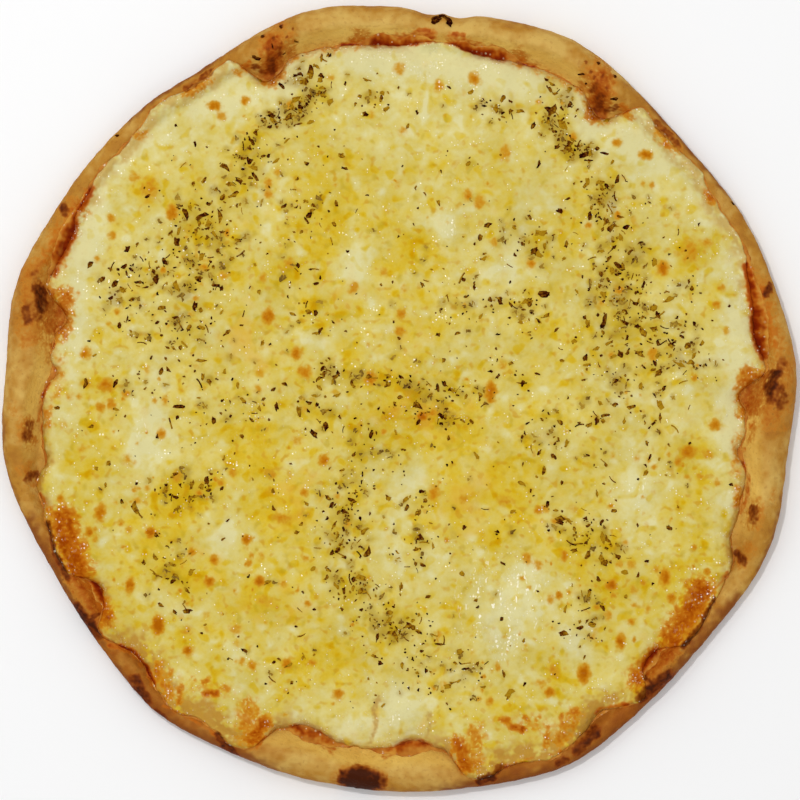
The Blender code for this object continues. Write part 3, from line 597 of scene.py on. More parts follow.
def patch_marks(x, y, listed):
    """Sum of soft oval patches."""
    across, along = across_along(x, y)
    total = np.zeros(len(x))
    for middle_across, middle_along, reach_across, reach_along, amount in listed:
        apart = ((across - middle_across) / reach_across) ** 2 + ((along - middle_along) / reach_along) ** 2
        total = total + amount * np.exp(-apart)
    return total


def small_blisters():
    """Faint small blisters by chance, half of them on the lower sides, in the form of the listed ones."""
    dice = random.Random(BLISTER_SEED)
    found = []
    for number in range(SMALL_BLISTERS):
        bearing = dice.uniform(-180.0, 180.0)
        radius = BLISTER_RADIUS * math.sqrt(dice.random())
        if number % 2:
            bearing = dice.choice((-1.0, 1.0)) * dice.uniform(*LOWER_SIDES)
            radius = dice.uniform(*LOWER_RADII)
        across, along = across_along(*point_at(bearing, radius))
        reach = 0.7 + 1.5 * dice.random() ** 2
        found.append((across, along, reach, reach * dice.uniform(0.8, 1.4), dice.uniform(0.25, 0.7)))
    return found


def blister_marks(x, y, rough):
    """How toasted the blisters are, from 0 to 1, with uneven edges."""
    across, along = across_along(x, y)
    marks = np.zeros(len(x))
    for listed in on_both_halves(PAIRED_BLISTERS) + list(SINGLE_BLISTERS) + small_blisters():
        middle_across, middle_along, reach_across, reach_along, toast = listed
        apart = np.hypot((across - middle_across) / reach_across, (along - middle_along) / reach_along)
        depth = ease((1.6 + BLISTER_UNEVENNESS * rough - apart) / BLISTER_SOFTNESS)
        marks = np.maximum(marks, toast * depth)
    return marks


print("one drawn by chance:", [round(float(one), 1) for one in small_blisters()[0]])

# %% [markdown]
# ## Herb places
#
# Dried oregano was sprinkled by hand, so it lies in loose drifts. The largest flakes are drawn first, by the
# same rule and seed as in the solids, so they lie exactly where the solids have them. Smaller ones follow
# with seeds of their own. A particle system could strew them, but it can't promise the same places.

# %% Sprinklings and large flakes
# Sprinklings as (across, along, reach across, reach along, share of the flakes).
PAIRED_HERBS = (
    (50, 116, 8, 4, 5), (59, 107, 6, 3, 5), (54, 125, 9, 6, 4), (26, 121, 8, 5, 3), (71, 88, 9, 9, 7),
    (85, 60, 11, 13, 12), (86, 42, 12, 10, 8), (110, 33, 13, 12, 7), (90, 16, 15, 12, 7),
    (45, 70, 10, 6, 4), (45, 44, 7, 6, 3), (76, -43, 9, 6, 4), (88, -50, 7, 9, 3), (84, -78, 9, 11, 5),
    (64, -10, 14, 14, 4), (105, -6, 12, 14, 3),
)
SINGLE_HERBS = (
    (-26, 7, 7, 3.5, 3), (12, 7, 16, 3, 5), (-28, -9, 6, 6, 3), (15, -5, 12, 3, 3),
    (-15, -50, 8, 14, 8), (-12, -76, 10, 9, 6), (13, -48, 7, 12, 3), (8, -92, 12, 9, 8),
    (28, -107, 14, 8, 6), (22, 42, 16, 8, 5),
)
SCATTERED_HERBS = 22.0
SCATTER_RADIUS = 128.0
SPRINKLE_SPREAD = 0.6
RIM_MARGIN = 4.0
# Flakes on the rim, as (across, along, length, width, turn).
PAIRED_RIM_FLAKES = (
    (72, 129, 4.6, 2.6, 55), (57.5, 137.5, 4.2, 1.2, 60), (64, 142.5, 2.4, 1.5, 70),
    (71, 138, 2.2, 1.5, 80),
)
SINGLE_RIM_FLAKES = ((-2.3, 153.6, 5, 2.1, 40), (1.9, 153.6, 4.8, 2.1, -38))
# Bits on the rim that are too small for the solids, in the same form.
RIM_BITS = (
    (-2.6, 153, 6.4, 4, 42), (2.4, 153, 6.2, 4, -42), (-3.2, 151.8, 4.4, 3.4, 60),
    (3, 151.8, 4.4, 3.4, -60), (-0.2, 154.6, 4, 3, 85), (124, 93, 3, 1.6, 40),
    (-124.5, 92, 2.6, 1.4, 120), (-66.5, 134.5, 2.2, 0.8, 30), (67.5, 145, 2, 0.9, 70),
    (-61.5, 132.5, 1.8, 0.9, 10), (60, 134, 2, 0.8, 100),
)
HERB_FLAKES = 130
FLAKE_LENGTHS = (3.4, 6.4)
FLAKE_SPACING = 5.4
HERB_SEED = 4
print("sprinklings", 2 * len(PAIRED_HERBS) + len(SINGLE_HERBS))

# %% Bits that show most
# In the form of the flakes on the rim: those of both halves, then single ones.
PAIRED_BITS = (
    (46, 140, 3, 1.4, 60), (44, 134, 2.6, 1.3, 100), (46.5, 132.5, 3.2, 1.3, 30),
    (48, 128.7, 3.4, 1.6, 70), (54.5, 125, 3.6, 1.6, 20), (51.5, 123, 2.8, 1.3, 130),
    (70, 120.5, 4.2, 2.6, 50), (70, 95.5, 4.4, 1.8, 140), (71, 93, 3.4, 1.8, 75),
    (70.5, 88, 3.8, 2.4, 120), (67.5, 82, 4, 2.4, 20), (74, 80, 4.4, 2.4, 0), (77, 78, 4, 2.2, 60),
    (86, 28, 4.8, 2.4, 35), (83, 26.5, 3.2, 1.8, 10), (115.5, 31, 3.6, 2, 110),
    (112, 19.7, 3.8, 0.8, 40), (79.5, 0, 4, 2, 20), (76.5, -2, 3.4, 2, 70), (65, -2, 3.2, 1.8, 130),
    (58, -15, 3, 1.6, 80), (61, -22, 3.4, 1.6, 40), (113, -39, 2.6, 2.3, 20),
    (106, -53.5, 2.8, 1.4, 100), (86, -40, 3.4, 1.8, 60), (89, -46.5, 3.8, 2.2, 140),
    (73, -41, 4, 2.2, 20), (75.5, -44, 3.6, 2, 80), (90.5, -74, 3.4, 1.6, 50), (82, -83, 3.6, 1.6, 120),
    (136, -19, 2.3, 2, 0), (130, 78, 3.8, 2.4, 60),
)
SINGLE_BITS = (
    (-40, 30.5, 3.6, 2, 30), (-46, 29, 3.2, 1.8, 90), (-33, 4.5, 3.6, 1.8, 0), (-32.5, 1, 3.2, 1.6, 60),
    (-39.5, -10, 6, 2.6, 130), (-14.5, -42.5, 4.2, 2.2, 70), (-8.5, -54.5, 5, 2.4, 100),
    (-18.5, -57, 3.4, 1.8, 30), (-20, -64.5, 3.4, 1.8, 150), (-7, -73, 5.6, 2.6, 45),
    (-16.5, -77.5, 4.2, 1.8, 20), (-13.5, -79, 3.8, 1.8, 110), (-44.5, -79, 3.4, 1.7, 60),
    (-76, -86, 3.6, 1.7, 100), (27.5, 73.5, 4.2, 2.4, 80), (27, 59.5, 3.4, 1.8, 20),
    (49, 64, 4.2, 2.2, 60), (51, 67, 3.6, 2, 120), (76, 51, 5.8, 2.6, 30), (82.5, 63, 4.2, 2.2, 90),
    (46.5, 44.5, 5, 2.6, 150), (55, 40, 5, 2.2, 100), (48.5, 12, 4.2, 2.2, 20),
    (63, 22.5, 3.4, 1.8, 70), (12.5, -44.5, 4.2, 2.2, 120), (13.5, -59, 3.4, 1.8, 60),
    (15, -90, 5, 2.4, 10), (6.8, -93.5, 4, 1.8, 40), (9.6, -95.5, 3.6, 1.8, 130), (27, -96, 5, 1, 70),
    (69.5, -42, 4, 2.2, 40), (64, -35, 3.4, 1.8, 150),
)
print("bits", 2 * len(PAIRED_BITS) + len(SINGLE_BITS))

# %% Drifts
# Thin drifts, as (from across, from along, to across, to along, spread, bits): both halves, then single.
PAIRED_DRIFTS = (
    (43.5, 121, 54, 110, 1.8, 24), (54, 110, 66, 105, 2.2, 26), (47, 131, 58, 122, 3, 12),
    (70, 97, 72, 80, 3.6, 14), (78, 70, 92, 44, 9, 46), (74, 52, 104, 36, 7, 24),
    (96, 40, 122, 28, 6, 20), (78, 24, 104, 12, 8, 22), (56, -2, 80, -14, 8, 10),
    (66, -38, 94, -52, 4, 18), (80, -68, 90, -86, 5, 12), (22, 122, 30, 118, 4, 8),
    (92, 88, 104, 60, 8, 10), (38, 74, 52, 62, 5, 12),
)
SINGLE_DRIFTS = (
    (-34, 8, 36, 5, 2.4, 44), (-4, -4, 26, -6, 2.2, 16), (-44, 30, -30, 26, 4, 8),
    (-14, -34, -18, -66, 5, 38), (12, -40, 14, -64, 4, 16), (-20, -72, 2, -80, 5, 22),
    (-4, -88, 20, -94, 5, 30), (14, -106, 46, -108, 5, 20), (10, 46, 40, 40, 6, 16),
    (42, 46, 58, 38, 4, 10), (70, 64, 86, 40, 6, 16), (-36, -6, -22, -14, 4, 8),
    (-12, -14, -6, -32, 4.5, 14),
)
print("drifts", 2 * len(PAIRED_DRIFTS) + len(SINGLE_DRIFTS))

# %% Where bits of herb lie


def herb_places(count, seed, lengths, spacing, scattered, slimness=(0.34, 0.52), taken=()):
    """Where flakes lie, the largest first: (x, y, length, width, turn)."""
    dice = random.Random(seed)
    groups = on_both_halves(PAIRED_HERBS) + list(SINGLE_HERBS)
    total = sum(one[4] for one in groups) + scattered * 2.0
    found = []
    while len(found) < count:
        pick = dice.uniform(0.0, total)
        x, y = None, None
        for across, along, wide, tall, share in groups:
            pick -= share
            if pick < 0.0:
                spot_across = dice.gauss(across, SPRINKLE_SPREAD * wide)
                x, y = place(spot_across, dice.gauss(along, SPRINKLE_SPREAD * tall))
                break
        if x is None:
            x, y = point_at(dice.uniform(-180.0, 180.0), SCATTER_RADIUS * math.sqrt(dice.random()))
        largeness = (1.0 - len(found) / count) ** 1.5
        length = lengths[0] + (lengths[1] - lengths[0]) * largeness
        width = length * dice.uniform(*slimness)
        turn = dice.uniform(0.0, 180.0)
        bearing = bearing_of(x, y)
        if math.hypot(x, y) > outline(bearing) - rim_width(bearing) - RIM_MARGIN:
            continue
        if all(math.hypot(x - one[0], y - one[1]) > spacing for one in found):
            if all(math.hypot(x - one[0], y - one[1]) > 0.5 * (one[2] + length) for one in taken):
                found.append((x, y, length, width, turn))
    return found


print("flakes drawn first:", HERB_FLAKES, "of", FLAKE_LENGTHS, "mm")

# %% Where listed bits and drifts lie


def rim_flake_places():
    """The flakes on the rim, in the same form."""
    found = []
    for across, along, length, width, turn in on_both_halves(PAIRED_RIM_FLAKES):
        x, y = place(across, along)
        found.append((x, y, length, width, turn if across > 0.0 else 180.0 - turn))
    for across, along, length, width, turn in SINGLE_RIM_FLAKES + RIM_BITS:
        x, y = place(across, along)
        found.append((x, y, length, width, turn))
    return found


def listed_bits():
    """The bits that show most, in the same form."""
    listed = [(one, one[4]) for one in PAIRED_BITS + SINGLE_BITS]
    listed += [((-one[0], *one[1:]), 180.0 - one[4]) for one in PAIRED_BITS]
    return [(*place(one[0], one[1]), one[2], one[3], turn) for one, turn in listed]


def drift_places(share, seed, lengths, slimness):
    """Bits strewn along the drifts, in the same form. The share is how many of the listed bits to strew."""
    dice = random.Random(seed)
    drifts = on_both_halves_of_smears(PAIRED_DRIFTS) + list(SINGLE_DRIFTS)
    found = []
    for from_across, from_along, to_across, to_along, spread, bits in drifts:
        for _ in range(round(bits * share)):
            way = dice.random()
            across = from_across + way * (to_across - from_across) + dice.gauss(0.0, spread)
            along = from_along + way * (to_along - from_along) + dice.gauss(0.0, spread)
            length = lengths[0] + (lengths[1] - lengths[0]) * dice.random() ** 2
            width = length * dice.uniform(*slimness)
            found.append((*place(across, along), length, width, dice.uniform(0.0, 180.0)))
    return found


print("flakes on the rim", len(rim_flake_places()))

# %% Draw the places of all bits
SMALL_SEED = 17
STEM_SLIMNESS = (0.13, 0.2)
DUST_SLIMNESS = (0.5, 0.9)
DUST_LENGTHS = (0.6, 1.5)

large_flakes = herb_places(HERB_FLAKES, HERB_SEED, FLAKE_LENGTHS, FLAKE_SPACING, SCATTERED_HERBS)
listed_flakes = listed_bits()
small_flakes = herb_places(350, SMALL_SEED, (1.5, 3.4), 2.0, 80.0, (0.36, 0.75), large_flakes)
small_flakes += drift_places(0.5, SMALL_SEED + 4, (1.4, 4.0), (0.4, 0.7))
sunken_flakes = herb_places(170, SMALL_SEED + 1, (2.2, 4.4), 3.5, 50.0, (0.4, 0.75), large_flakes)
sunken_flakes += drift_places(0.4, SMALL_SEED + 5, (2.2, 4.6), (0.45, 0.8))
stem_places = herb_places(80, SMALL_SEED + 2, (2.0, 4.6), 4.0, 60.0, STEM_SLIMNESS)
stem_places += drift_places(0.08, SMALL_SEED + 6, (2.2, 4.6), STEM_SLIMNESS)
dust_places = herb_places(600, SMALL_SEED + 3, DUST_LENGTHS, 1.0, 110.0, DUST_SLIMNESS)
dust_places += drift_places(0.7, SMALL_SEED + 7, DUST_LENGTHS, DUST_SLIMNESS)
print("leaf bits", len(large_flakes) + len(listed_flakes) + len(small_flakes) + len(sunken_flakes))
print("stalks", len(stem_places), "dust", len(dust_places))

# %% [markdown]
# ## Tools for making the rounds
#
# The dough and the sauce are round, so each starts as its section: a single corner is extruded from point to
# point, and the line is spun right round. The spun round has true circles, and every corner is then moved to
# the uneven outline by a formula. A small set of helpers does this, and works on one object at a time,
# because an operator acts on everything that is selected.

# %% Helpers that draw, spin and shape
TOP_MARGIN = 0.05
JOIN_WITHIN = 0.001


def only(piece):
    """Makes one object the only one that is selected and active."""
    bpy.ops.object.select_all(action="DESELECT")
    piece.select_set(True)
    bpy.context.view_layer.objects.active = piece
    return piece


def spun_round(name, section, steps):
    """A section of (radius, height) points, from the axis round to the axis, spun into a closed round."""
    bpy.ops.object.select_all(action="DESELECT")
    bpy.ops.mesh.primitive_plane_add(size=1.0)
    piece = bpy.context.object
    piece.name = name
    bpy.ops.object.mode_set(mode="EDIT")
    bpy.ops.mesh.merge(type="CENTER")
    last = section[0]
    bpy.ops.transform.translate(value=(last[0], 0.0, last[1]))
    for radius, height in section[1:]:
        step = (radius - last[0], 0.0, height - last[1])
        bpy.ops.mesh.extrude_region_move(TRANSFORM_OT_translate={"value": step})
        last = (radius, height)
    bpy.ops.mesh.select_all(action="SELECT")
    bpy.ops.mesh.spin(steps=steps, angle=math.tau, center=(0.0, 0.0, 0.0), axis=(0.0, 0.0, 1.0))
    bpy.ops.mesh.select_all(action="SELECT")
    bpy.ops.mesh.remove_doubles(threshold=JOIN_WITHIN)
    bpy.ops.object.mode_set(mode="OBJECT")
    return piece


def corners_of(piece):
    """All corners of a mesh as rows of numbers."""
    flat = np.empty(3 * len(piece.data.vertices))
    piece.data.vertices.foreach_get("co", flat)
    return flat.reshape(-1, 3)


def move_corners(piece, corners):
    """Puts every corner of a mesh at its new place."""
    piece.data.vertices.foreach_set("co", np.ascontiguousarray(corners, dtype=float).ravel())
    piece.data.update()


def store(piece, name, values):
    """Keeps one number at each corner, for the materials to read."""
    kept = piece.data.attributes.new(name, "FLOAT", "POINT")
    kept.data.foreach_set("value", np.asarray(values, dtype=np.float32))


def store_all(piece, marks):
    """Keeps several marks, given by their names."""
    for name, values in marks.items():
        store(piece, name, values)


def settle(piece):
    """Centres a finished mesh like the solids, in metres, below their highest point, and smooths it."""
    corners = corners_of(piece)
    corners[:, 2] = np.minimum(corners[:, 2], CAD_TOP - TOP_MARGIN)
    corners[:, :2] -= MIDDLE
    move_corners(piece, corners * METRES)
    only(piece)
    bpy.ops.object.mode_set(mode="EDIT")
    bpy.ops.mesh.select_all(action="SELECT")
    bpy.ops.mesh.normals_make_consistent(inside=False)
    bpy.ops.object.mode_set(mode="OBJECT")
    bpy.ops.object.shade_smooth()
    piece.data.name = piece.name
    size = piece.dimensions / METRES
    print(piece.name, len(piece.data.polygons), "faces", [round(one, 1) for one in size], "mm")
    return piece


# %% [markdown]
# ## The crust
#
# The rim is dry bread: tight, smooth bubbles under a skin with fine wrinkles. Its section is drawn in plain
# numbers, one step for each row, and the formula for the dough's height puts each row in place. A displace
# modifier could add the wrinkles, but it pushes outwards too. Here fine wrinkles and small pits are only
# taken away from the surface, so the round stays inside its solid.

# %% The crust's section and skin
ROUND_STEPS = 1300
RIM_ROWS = 46
UNDER_ROWS = 12
FLOOR_ROWS = 3
SKIN_RELIEF = ((6, 0.16), (2.6, 0.09), (1.1, 0.045))
EDGE_INSET = 0.12
SIDE_DEPTH = 3.0
SKIN_SEED = 40
SKIN_FADE = 2.0
SAUCE_ON_CRUST = 0.6
SLOPE_SOFTNESS = 0.25
STEEP_FROM = 12.0
STEEP_REACH = 4.0


def crust_section():
    """The crust's section: row numbers stand for radii until the formula moves them."""
    edge_row = FLOOR_ROWS + RIM_ROWS
    top = [(float(row), 1.0) for row in range(edge_row + 1)]
    under = [(float(row), -1.0) for row in range(edge_row - 1, edge_row - UNDER_ROWS - 1, -1)]
    return top + under + [(0.0, -1.0)]


def crust_point(x, y, side):
    """Where a corner of the spun section belongs."""
    row = np.hypot(x, y)
    bearing = bearing_of(x, y)
    edge = outline(bearing) - EDGE_INSET
    width = rim_width(bearing)
    crest = CREST_SHARE * width
    past_floor = np.clip((row - FLOOR_ROWS) / RIM_ROWS, 0.0, 1.0)
    climb = np.clip(past_floor * 2.0, 0.0, 1.0)
    fall = np.clip(past_floor * 2.0 - 1.0, 0.0, 1.0)
    inset = width - (width - crest) * climb - crest * np.sin(0.5 * math.pi * fall)
    radius = np.where(row < FLOOR_ROWS, (edge - width) * row / FLOOR_ROWS, edge - inset)
    under = np.clip((FLOOR_ROWS + RIM_ROWS - row) / UNDER_ROWS, 0.0, 1.0)
    turn = 0.5 * math.pi * under
    under_radius = np.where(row < 0.5, 0.0, edge - BASE_INSET * (1.0 - np.cos(turn)))
    radius = np.where(side > 0.0, radius, under_radius)
    new_x, new_y = point_at(bearing, radius)
    height = np.where(side > 0.0, dough_top(new_x, new_y), SHOULDER_HEIGHT * (1.0 - np.sin(turn)))
    return new_x, new_y, np.maximum(height, 0.0), radius


def skin_relief(x, y, height):
    """Fine wrinkles of the skin, as a depth below the smooth surface, none on the flat underside."""
    depth = np.zeros(len(x))
    for seed, (size, reach) in enumerate(SKIN_RELIEF):
        depth = depth + reach * (grain(x, y, size, seed + SKIN_SEED) - 1.0)
    return depth * ease(height / SKIN_FADE)


print("corners of the crust's section", len(crust_section()))

# %% Model the crust
crust = spun_round("baked_crust", crust_section(), ROUND_STEPS)
corners = corners_of(crust)
x, y, z, radius = crust_point(corners[:, 0], corners[:, 1], corners[:, 2])
rough = grain(x, y, *MARK_GRAIN)
char = np.maximum(smear_marks(x, y, CHARRED, rough, 0.5), bubble_marks(x, y, BURNT_BUBBLES, rough, 0.35))
toast = np.maximum(smear_marks(x, y, TOASTED, rough, 0.7), bubble_marks(x, y, BURNT_BUBBLES, rough, 0.6))
sauce = smear_marks(x, y, SAUCED, rough, 0.6)
relief = skin_relief(x, y, z)
outwards = np.arctan2(y, x)
side_share = ease((radius - (outline(bearing_of(x, y)) - SIDE_DEPTH)) / SIDE_DEPTH)
z = z + relief * (1.0 - side_share)
x = x + np.cos(outwards) * relief * side_share
y = y + np.sin(outwards) * relief * side_share
move_corners(crust, np.stack([x, y, z], axis=1))
bearing = bearing_of(x, y)
down_slope = ease(((outline(bearing) - radius) / rim_width(bearing) - CREST_SHARE) / SLOPE_SOFTNESS)
marks = {
    "char": char,
    "toast": toast,
    "sauce": SAUCE_ON_CRUST * sauce,
    "edge": edge_marks(bearing, outline(bearing) - radius, DARK_EDGES),
    "warm": sum(swell(np.abs(bearing), *one) for one in BROWN_BEARINGS),
    "pale": patch_marks(x, y, on_both_halves(PALE_DOUGH_AND_PAINTED_LIGHT)),
    # painted light: lightens the steep inner slope of a high rim, against the shade that falls on it
    "slope": down_slope * ease((rim_top(bearing) - STEEP_FROM) / STEEP_REACH),
}
store_all(crust, marks)
settle(crust)

# %% [markdown]
# ## The tomato sauce
#
# The sauce is a thin spread that runs right through under the cheese. It shows past the edge in places, as a
# dark red line or a small pool. It is spun as the dough is, clings to the dough, and its edge is uneven. A
# copy of the crust's faces would cling as well, but its edge could only run from face to face.

# %% Edges of the sauce and of the cheese
SAUCE_STEPS = 900
SAUCE_ROWS = 13
SAUCE_SHOWN = 16.0
SAUCE_FILM = 0.75
SAUCE_LIP = 2.6
# Unevenness of the edge, as (reach, size, seed).
SAUCE_GRAINS = ((0.5, 4, 51), (0.25, 1.6, 52))
# Pools, and places where the cheese drew back from the sauce, as (bearing, spread, reach).
POOLS = ((174.5, 2.2, 2.2),)
DRAWN_BACK = ((-68, 7, 1.7), (-75, 3, 1.2), (68, 7, 0.5))
SUNK = 0.8
FILM_START = -0.3
BOTTOM_POOL = (160, 182, 6, 1)


def bare_edge(bearing):
    """Radius where the fine cheese ends, before its small unevenness."""
    return cheese_edge(bearing) - sum(swell(bearing, *one) for one in DRAWN_BACK)


def sauce_rim(bearing):
    """Radius where the fine sauce ends."""
    edge = sauce_edge(bearing)
    edge = edge + sum(swell(np.abs(bearing), *one) for one in POOLS)
    x, y = point_at(bearing, edge)
    for reach, size, seed in SAUCE_GRAINS:
        edge = edge + reach * grain(x, y, size, seed)
    return edge


def sauce_film(x, y, edge):
    """Height of the fine sauce's surface, which is rounded at its edge."""
    past = np.clip((edge - np.hypot(x, y)) / SAUCE_LIP, 0.0, 1.0)
    return dough_top(x, y) + FILM_START + SAUCE_FILM * np.sqrt(1.0 - (1.0 - past) ** 2)


print("sauce shown at the bearing of 9 degrees", round(float(sauce_edge(9.0) - bare_edge(9.0)), 1))

# %% Model the sauce
section = [(float(row), 1.0) for row in range(SAUCE_ROWS + 1)]
section += [(float(row), -1.0) for row in range(SAUCE_ROWS, -1, -1)]
sauce_piece = spun_round("sauce_spread", section, SAUCE_STEPS)
corners = corners_of(sauce_piece)
row = np.hypot(corners[:, 0], corners[:, 1])
bearing = bearing_of(corners[:, 0], corners[:, 1])
edge = sauce_rim(bearing)
outward = np.clip((row - 1.0) / (SAUCE_ROWS - 1.0), 0.0, 1.0)
radius = np.where(row < 0.5, 0.0, edge - SAUCE_SHOWN * (1.0 - outward) ** 1.3)
x, y = point_at(bearing, radius)
z = np.where(corners[:, 2] > 0.0, sauce_film(x, y, edge), dough_top(x, y) - SUNK)
rough = grain(x, y, *MARK_GRAIN)
move_corners(sauce_piece, np.stack([x, y, z], axis=1))
shown = np.maximum(edge - bare_edge(bearing), 0.5)
outward = np.clip((radius - bare_edge(bearing)) / shown, 0.0, 1.2)
pool = stretch(np.abs(bearing), *BOTTOM_POOL)
marks = {
    "sauce": smear_marks(x, y, SAUCED, rough, 0.9),
    "char": smear_marks(x, y, CHARRED, rough, 0.5),
    "outward": outward + pool * (0.4 - 0.5 * outward),
}
store_all(sauce_piece, marks)
settle(sauce_piece)

# %% [markdown]
# ## The cheese
#
# The cheese is a sheet with the finest relief, so its corners should be evenly spaced. A fan of six
# triangles is cut into small equal ones, and its rings are bent from hexagons to circles. The border is then
# extruded down and inwards, to close the sheet below. A spun round would have slivers in its middle, and a
# grid would have a stepped edge. Curds give soft blotches a few millimetres wide, blisters stand up round a
# dimple, and on one side the sheet set in upright ridges that catch the light.

# %% Relief of the cheese
RING_PIECES = (17, 10)
WALL_INSETS = (0.25, 3.0, 7.0, 12.0, 18.0)
CURDS = ((10, 0.2), (5, 0.07), (2.6, 0.025))
RIDGE_PATCH = ((48, -80, 26, 24, 1),)
RIDGE_HEIGHT = 0.45
RIDGE_WIDTH = 3.6
RIDGE_LENGTH = 15.0
# Unevenness of the edge, as (reach, size, seed).
CHEESE_GRAINS = ((0.55, 6, 61), (0.3, 2.4, 62))
# Where beads of oil stand thick, and where the sheet itself shines, with a faint coat and streaks of
# painted highlight, as soft ovals.
WET_PATCHES = (
    (0, 133, 24, 9, 0.8), (13, 68, 10, 12, 0.7), (-32, 64, 10, 10, 0.6), (48, -78, 18, 22, 1),
    (-58, -18, 10, 14, 0.6), (52, -10, 8, 8, 0.6), (0, -6, 30, 6, 0.5), (24, 50, 14, 12, 0.4),
    (-22, -112, 16, 8, 0.5), (8, -124, 14, 8, 0.7),
)
GLOSSY_PATCHES = (
    (50, -79, 16, 20, 1), (-100, -22, 5, 9, 0.5), (100, -22, 5, 9, 0.5), (13, 68, 5, 8, 0.4),
    (14, -127, 6, 5, 0.4),
)
EDGE_TAPER = 0.75
TAPER_REACH = 2.2
EDGE_LIP = 1.1
BLISTER_RELIEF = 0.08
CURDY_EDGE = 14.0
CURDY_HEIGHT = 0.16
CREASE_DEPTH = 0.5
RING_CROWDING = 0.05
OIL_PAST_LEAF = 1.2
SOAK_PAST_LEAF = 0.6
WET_EDGE = 16.0
SAUCE_ON_CHEESE = 3.0
WARM_TAN = (98, 166, 16, 1)
FOOT_GAP = 0.03
THINNEST = 0.15
UNDER_LIP = 0.3
UNDER_SHEET = 0.1


def cheese_rim(bearing):
    """Radius where the fine cheese ends."""
    edge = bare_edge(bearing)
    x, y = point_at(bearing, edge)
    for reach, size, seed in CHEESE_GRAINS:
        edge = edge + reach * grain(x, y, size, seed)
    return edge


def round_rings(x, y):
    """Share of the way out, and direction, of each corner when a hexagon's rings are bent to circles."""
    sixth = math.pi / 3.0
    direction = np.arctan2(y, x)
    sector = np.round(direction / sixth)
    aside = direction - sector * sixth
    share = np.hypot(x, y) * np.cos(aside) / math.cos(0.5 * sixth)
    return share, (sector + 0.5 * np.tan(aside) / math.tan(0.5 * sixth)) * sixth


def curd_relief(x, y, blister):
    """The finest relief of the sheet."""
    across, along = across_along(x, y)
    total = sum(reach * grain(x, y, size, seed + 70) for seed, (size, reach) in enumerate(CURDS))
    ridges = RIDGE_HEIGHT * grain(across / RIDGE_WIDTH, along / RIDGE_LENGTH, 1.0, 75)
    total = total + ridges * patch_marks(x, y, RIDGE_PATCH)
    return total + BLISTER_RELIEF * np.sin(0.9 * math.pi * blister)


def halo(x, y, flakes, past):
    """How near each point is to bits of herb, where their oil has tinted the cheese."""
    total = np.zeros(len(x))
    for flake_x, flake_y, length, _, _ in flakes:
        reach = 0.5 * length + past
        total = total + np.exp(-((x - flake_x) ** 2 + (y - flake_y) ** 2) / reach ** 2)
    return np.minimum(total, 1.5)


print("faces across the cheese", 2 * RING_PIECES[0] * RING_PIECES[1])

# %% Cut the round and close it below
bpy.ops.object.select_all(action="DESELECT")
bpy.ops.mesh.primitive_circle_add(vertices=6, radius=1.0, fill_type="TRIFAN")
cheese = bpy.context.object
cheese.name = "melted_cheese"
bpy.ops.object.mode_set(mode="EDIT")
for pieces in RING_PIECES:
    bpy.ops.mesh.select_all(action="SELECT")
    bpy.ops.mesh.subdivide(number_cuts=pieces - 1)
bpy.ops.mesh.select_all(action="SELECT")
bpy.ops.mesh.region_to_loop()
for _ in range(len(WALL_INSETS) + 1):
    bpy.ops.mesh.extrude_region_move(TRANSFORM_OT_translate={"value": (0.0, 0.0, -1.0)})
bpy.ops.mesh.merge(type="CENTER")
bpy.ops.object.mode_set(mode="OBJECT")
print("corners of the cheese", len(cheese.data.vertices))

# %% Shape the cheese
corners = corners_of(cheese)
share, direction = round_rings(corners[:, 0], corners[:, 1])
wall = np.round(-corners[:, 2]).astype(int)
share = (1.0 + RING_CROWDING) * share - RING_CROWDING * share ** 13
bearing = bearing_of(np.cos(direction), np.sin(direction))
edge = cheese_rim(bearing)
inset = np.array((0.0,) + WALL_INSETS + (0.0,))[wall]
radius = np.where(wall > len(WALL_INSETS), 0.0, share * edge - inset)
x, y = point_at(bearing, radius)
rough = grain(x, y, 1.8, 4)
blister = blister_marks(x, y, rough)
past = np.clip((edge - radius) / EDGE_LIP, 0.0, 1.0)
lip = np.sqrt(1.0 - (1.0 - past) ** 2)
foot = sauce_film(x, y, sauce_rim(bearing)) + FOOT_GAP
taper = 1.0 - EDGE_TAPER * np.exp(-np.maximum(edge - radius, 0.0) / TAPER_REACH)
curdy = CURDY_HEIGHT * grain(x, y, 2.8, 78) * (1.0 - ease((edge - radius) / CURDY_EDGE))
crease = smear_marks(x, y, CREASES, rough, 0.8, both=False)
relief = curd_relief(x, y, blister) + curdy - CREASE_DEPTH * crease
upper = (cheese_top(x, y) - foot) * taper + relief * (0.3 + 0.7 * taper)
top = foot + np.maximum(upper, THINNEST) * lip
under = np.where(inset < 1.0, foot - UNDER_LIP, foot + UNDER_SHEET)
z = np.where(wall > 0, under, top)
move_corners(cheese, np.stack([x, y, z], axis=1))
print("highest point of the cheese in mm", round(float(z.max()), 1))

# %% Mark the cheese
butter = patch_marks(x, y, on_both_halves(PAIRED_PATCHES) + list(SINGLE_PATCHES))
whiter = 0.0
for *listed, depth in WHITE_EDGES:
    whiter = whiter + stretch(np.abs(bearing), *listed) * (1.0 - ease((edge - radius) / depth))
near_edge = 1.0 - ease((edge - radius) / WET_EDGE)
marks = {
    "butter": butter + whiter,
    "light": patch_marks(x, y, LIGHT_PATCHES),
    "peach": patch_marks(x, y, PEACH_PATCHES),
    "olive": patch_marks(x, y, OLIVE_PATCHES),
    "blister": blister,
    "crease": crease,
    "char": smear_marks(x, y, CHARRED, rough, 0.5),
    "toast": smear_marks(x, y, TOASTED, rough, 0.8),
    "sauce": smear_marks(x, y, SAUCED, rough, 0.8) * (1.0 - ease((edge - radius) / SAUCE_ON_CHEESE)),
    "tan": edge_marks(bearing, edge - radius, TANNED_EDGES),
    "warm": stretch(np.abs(bearing), *WARM_TAN),
}
marks["oil"] = halo(x, y, large_flakes + listed_flakes + small_flakes, OIL_PAST_LEAF)
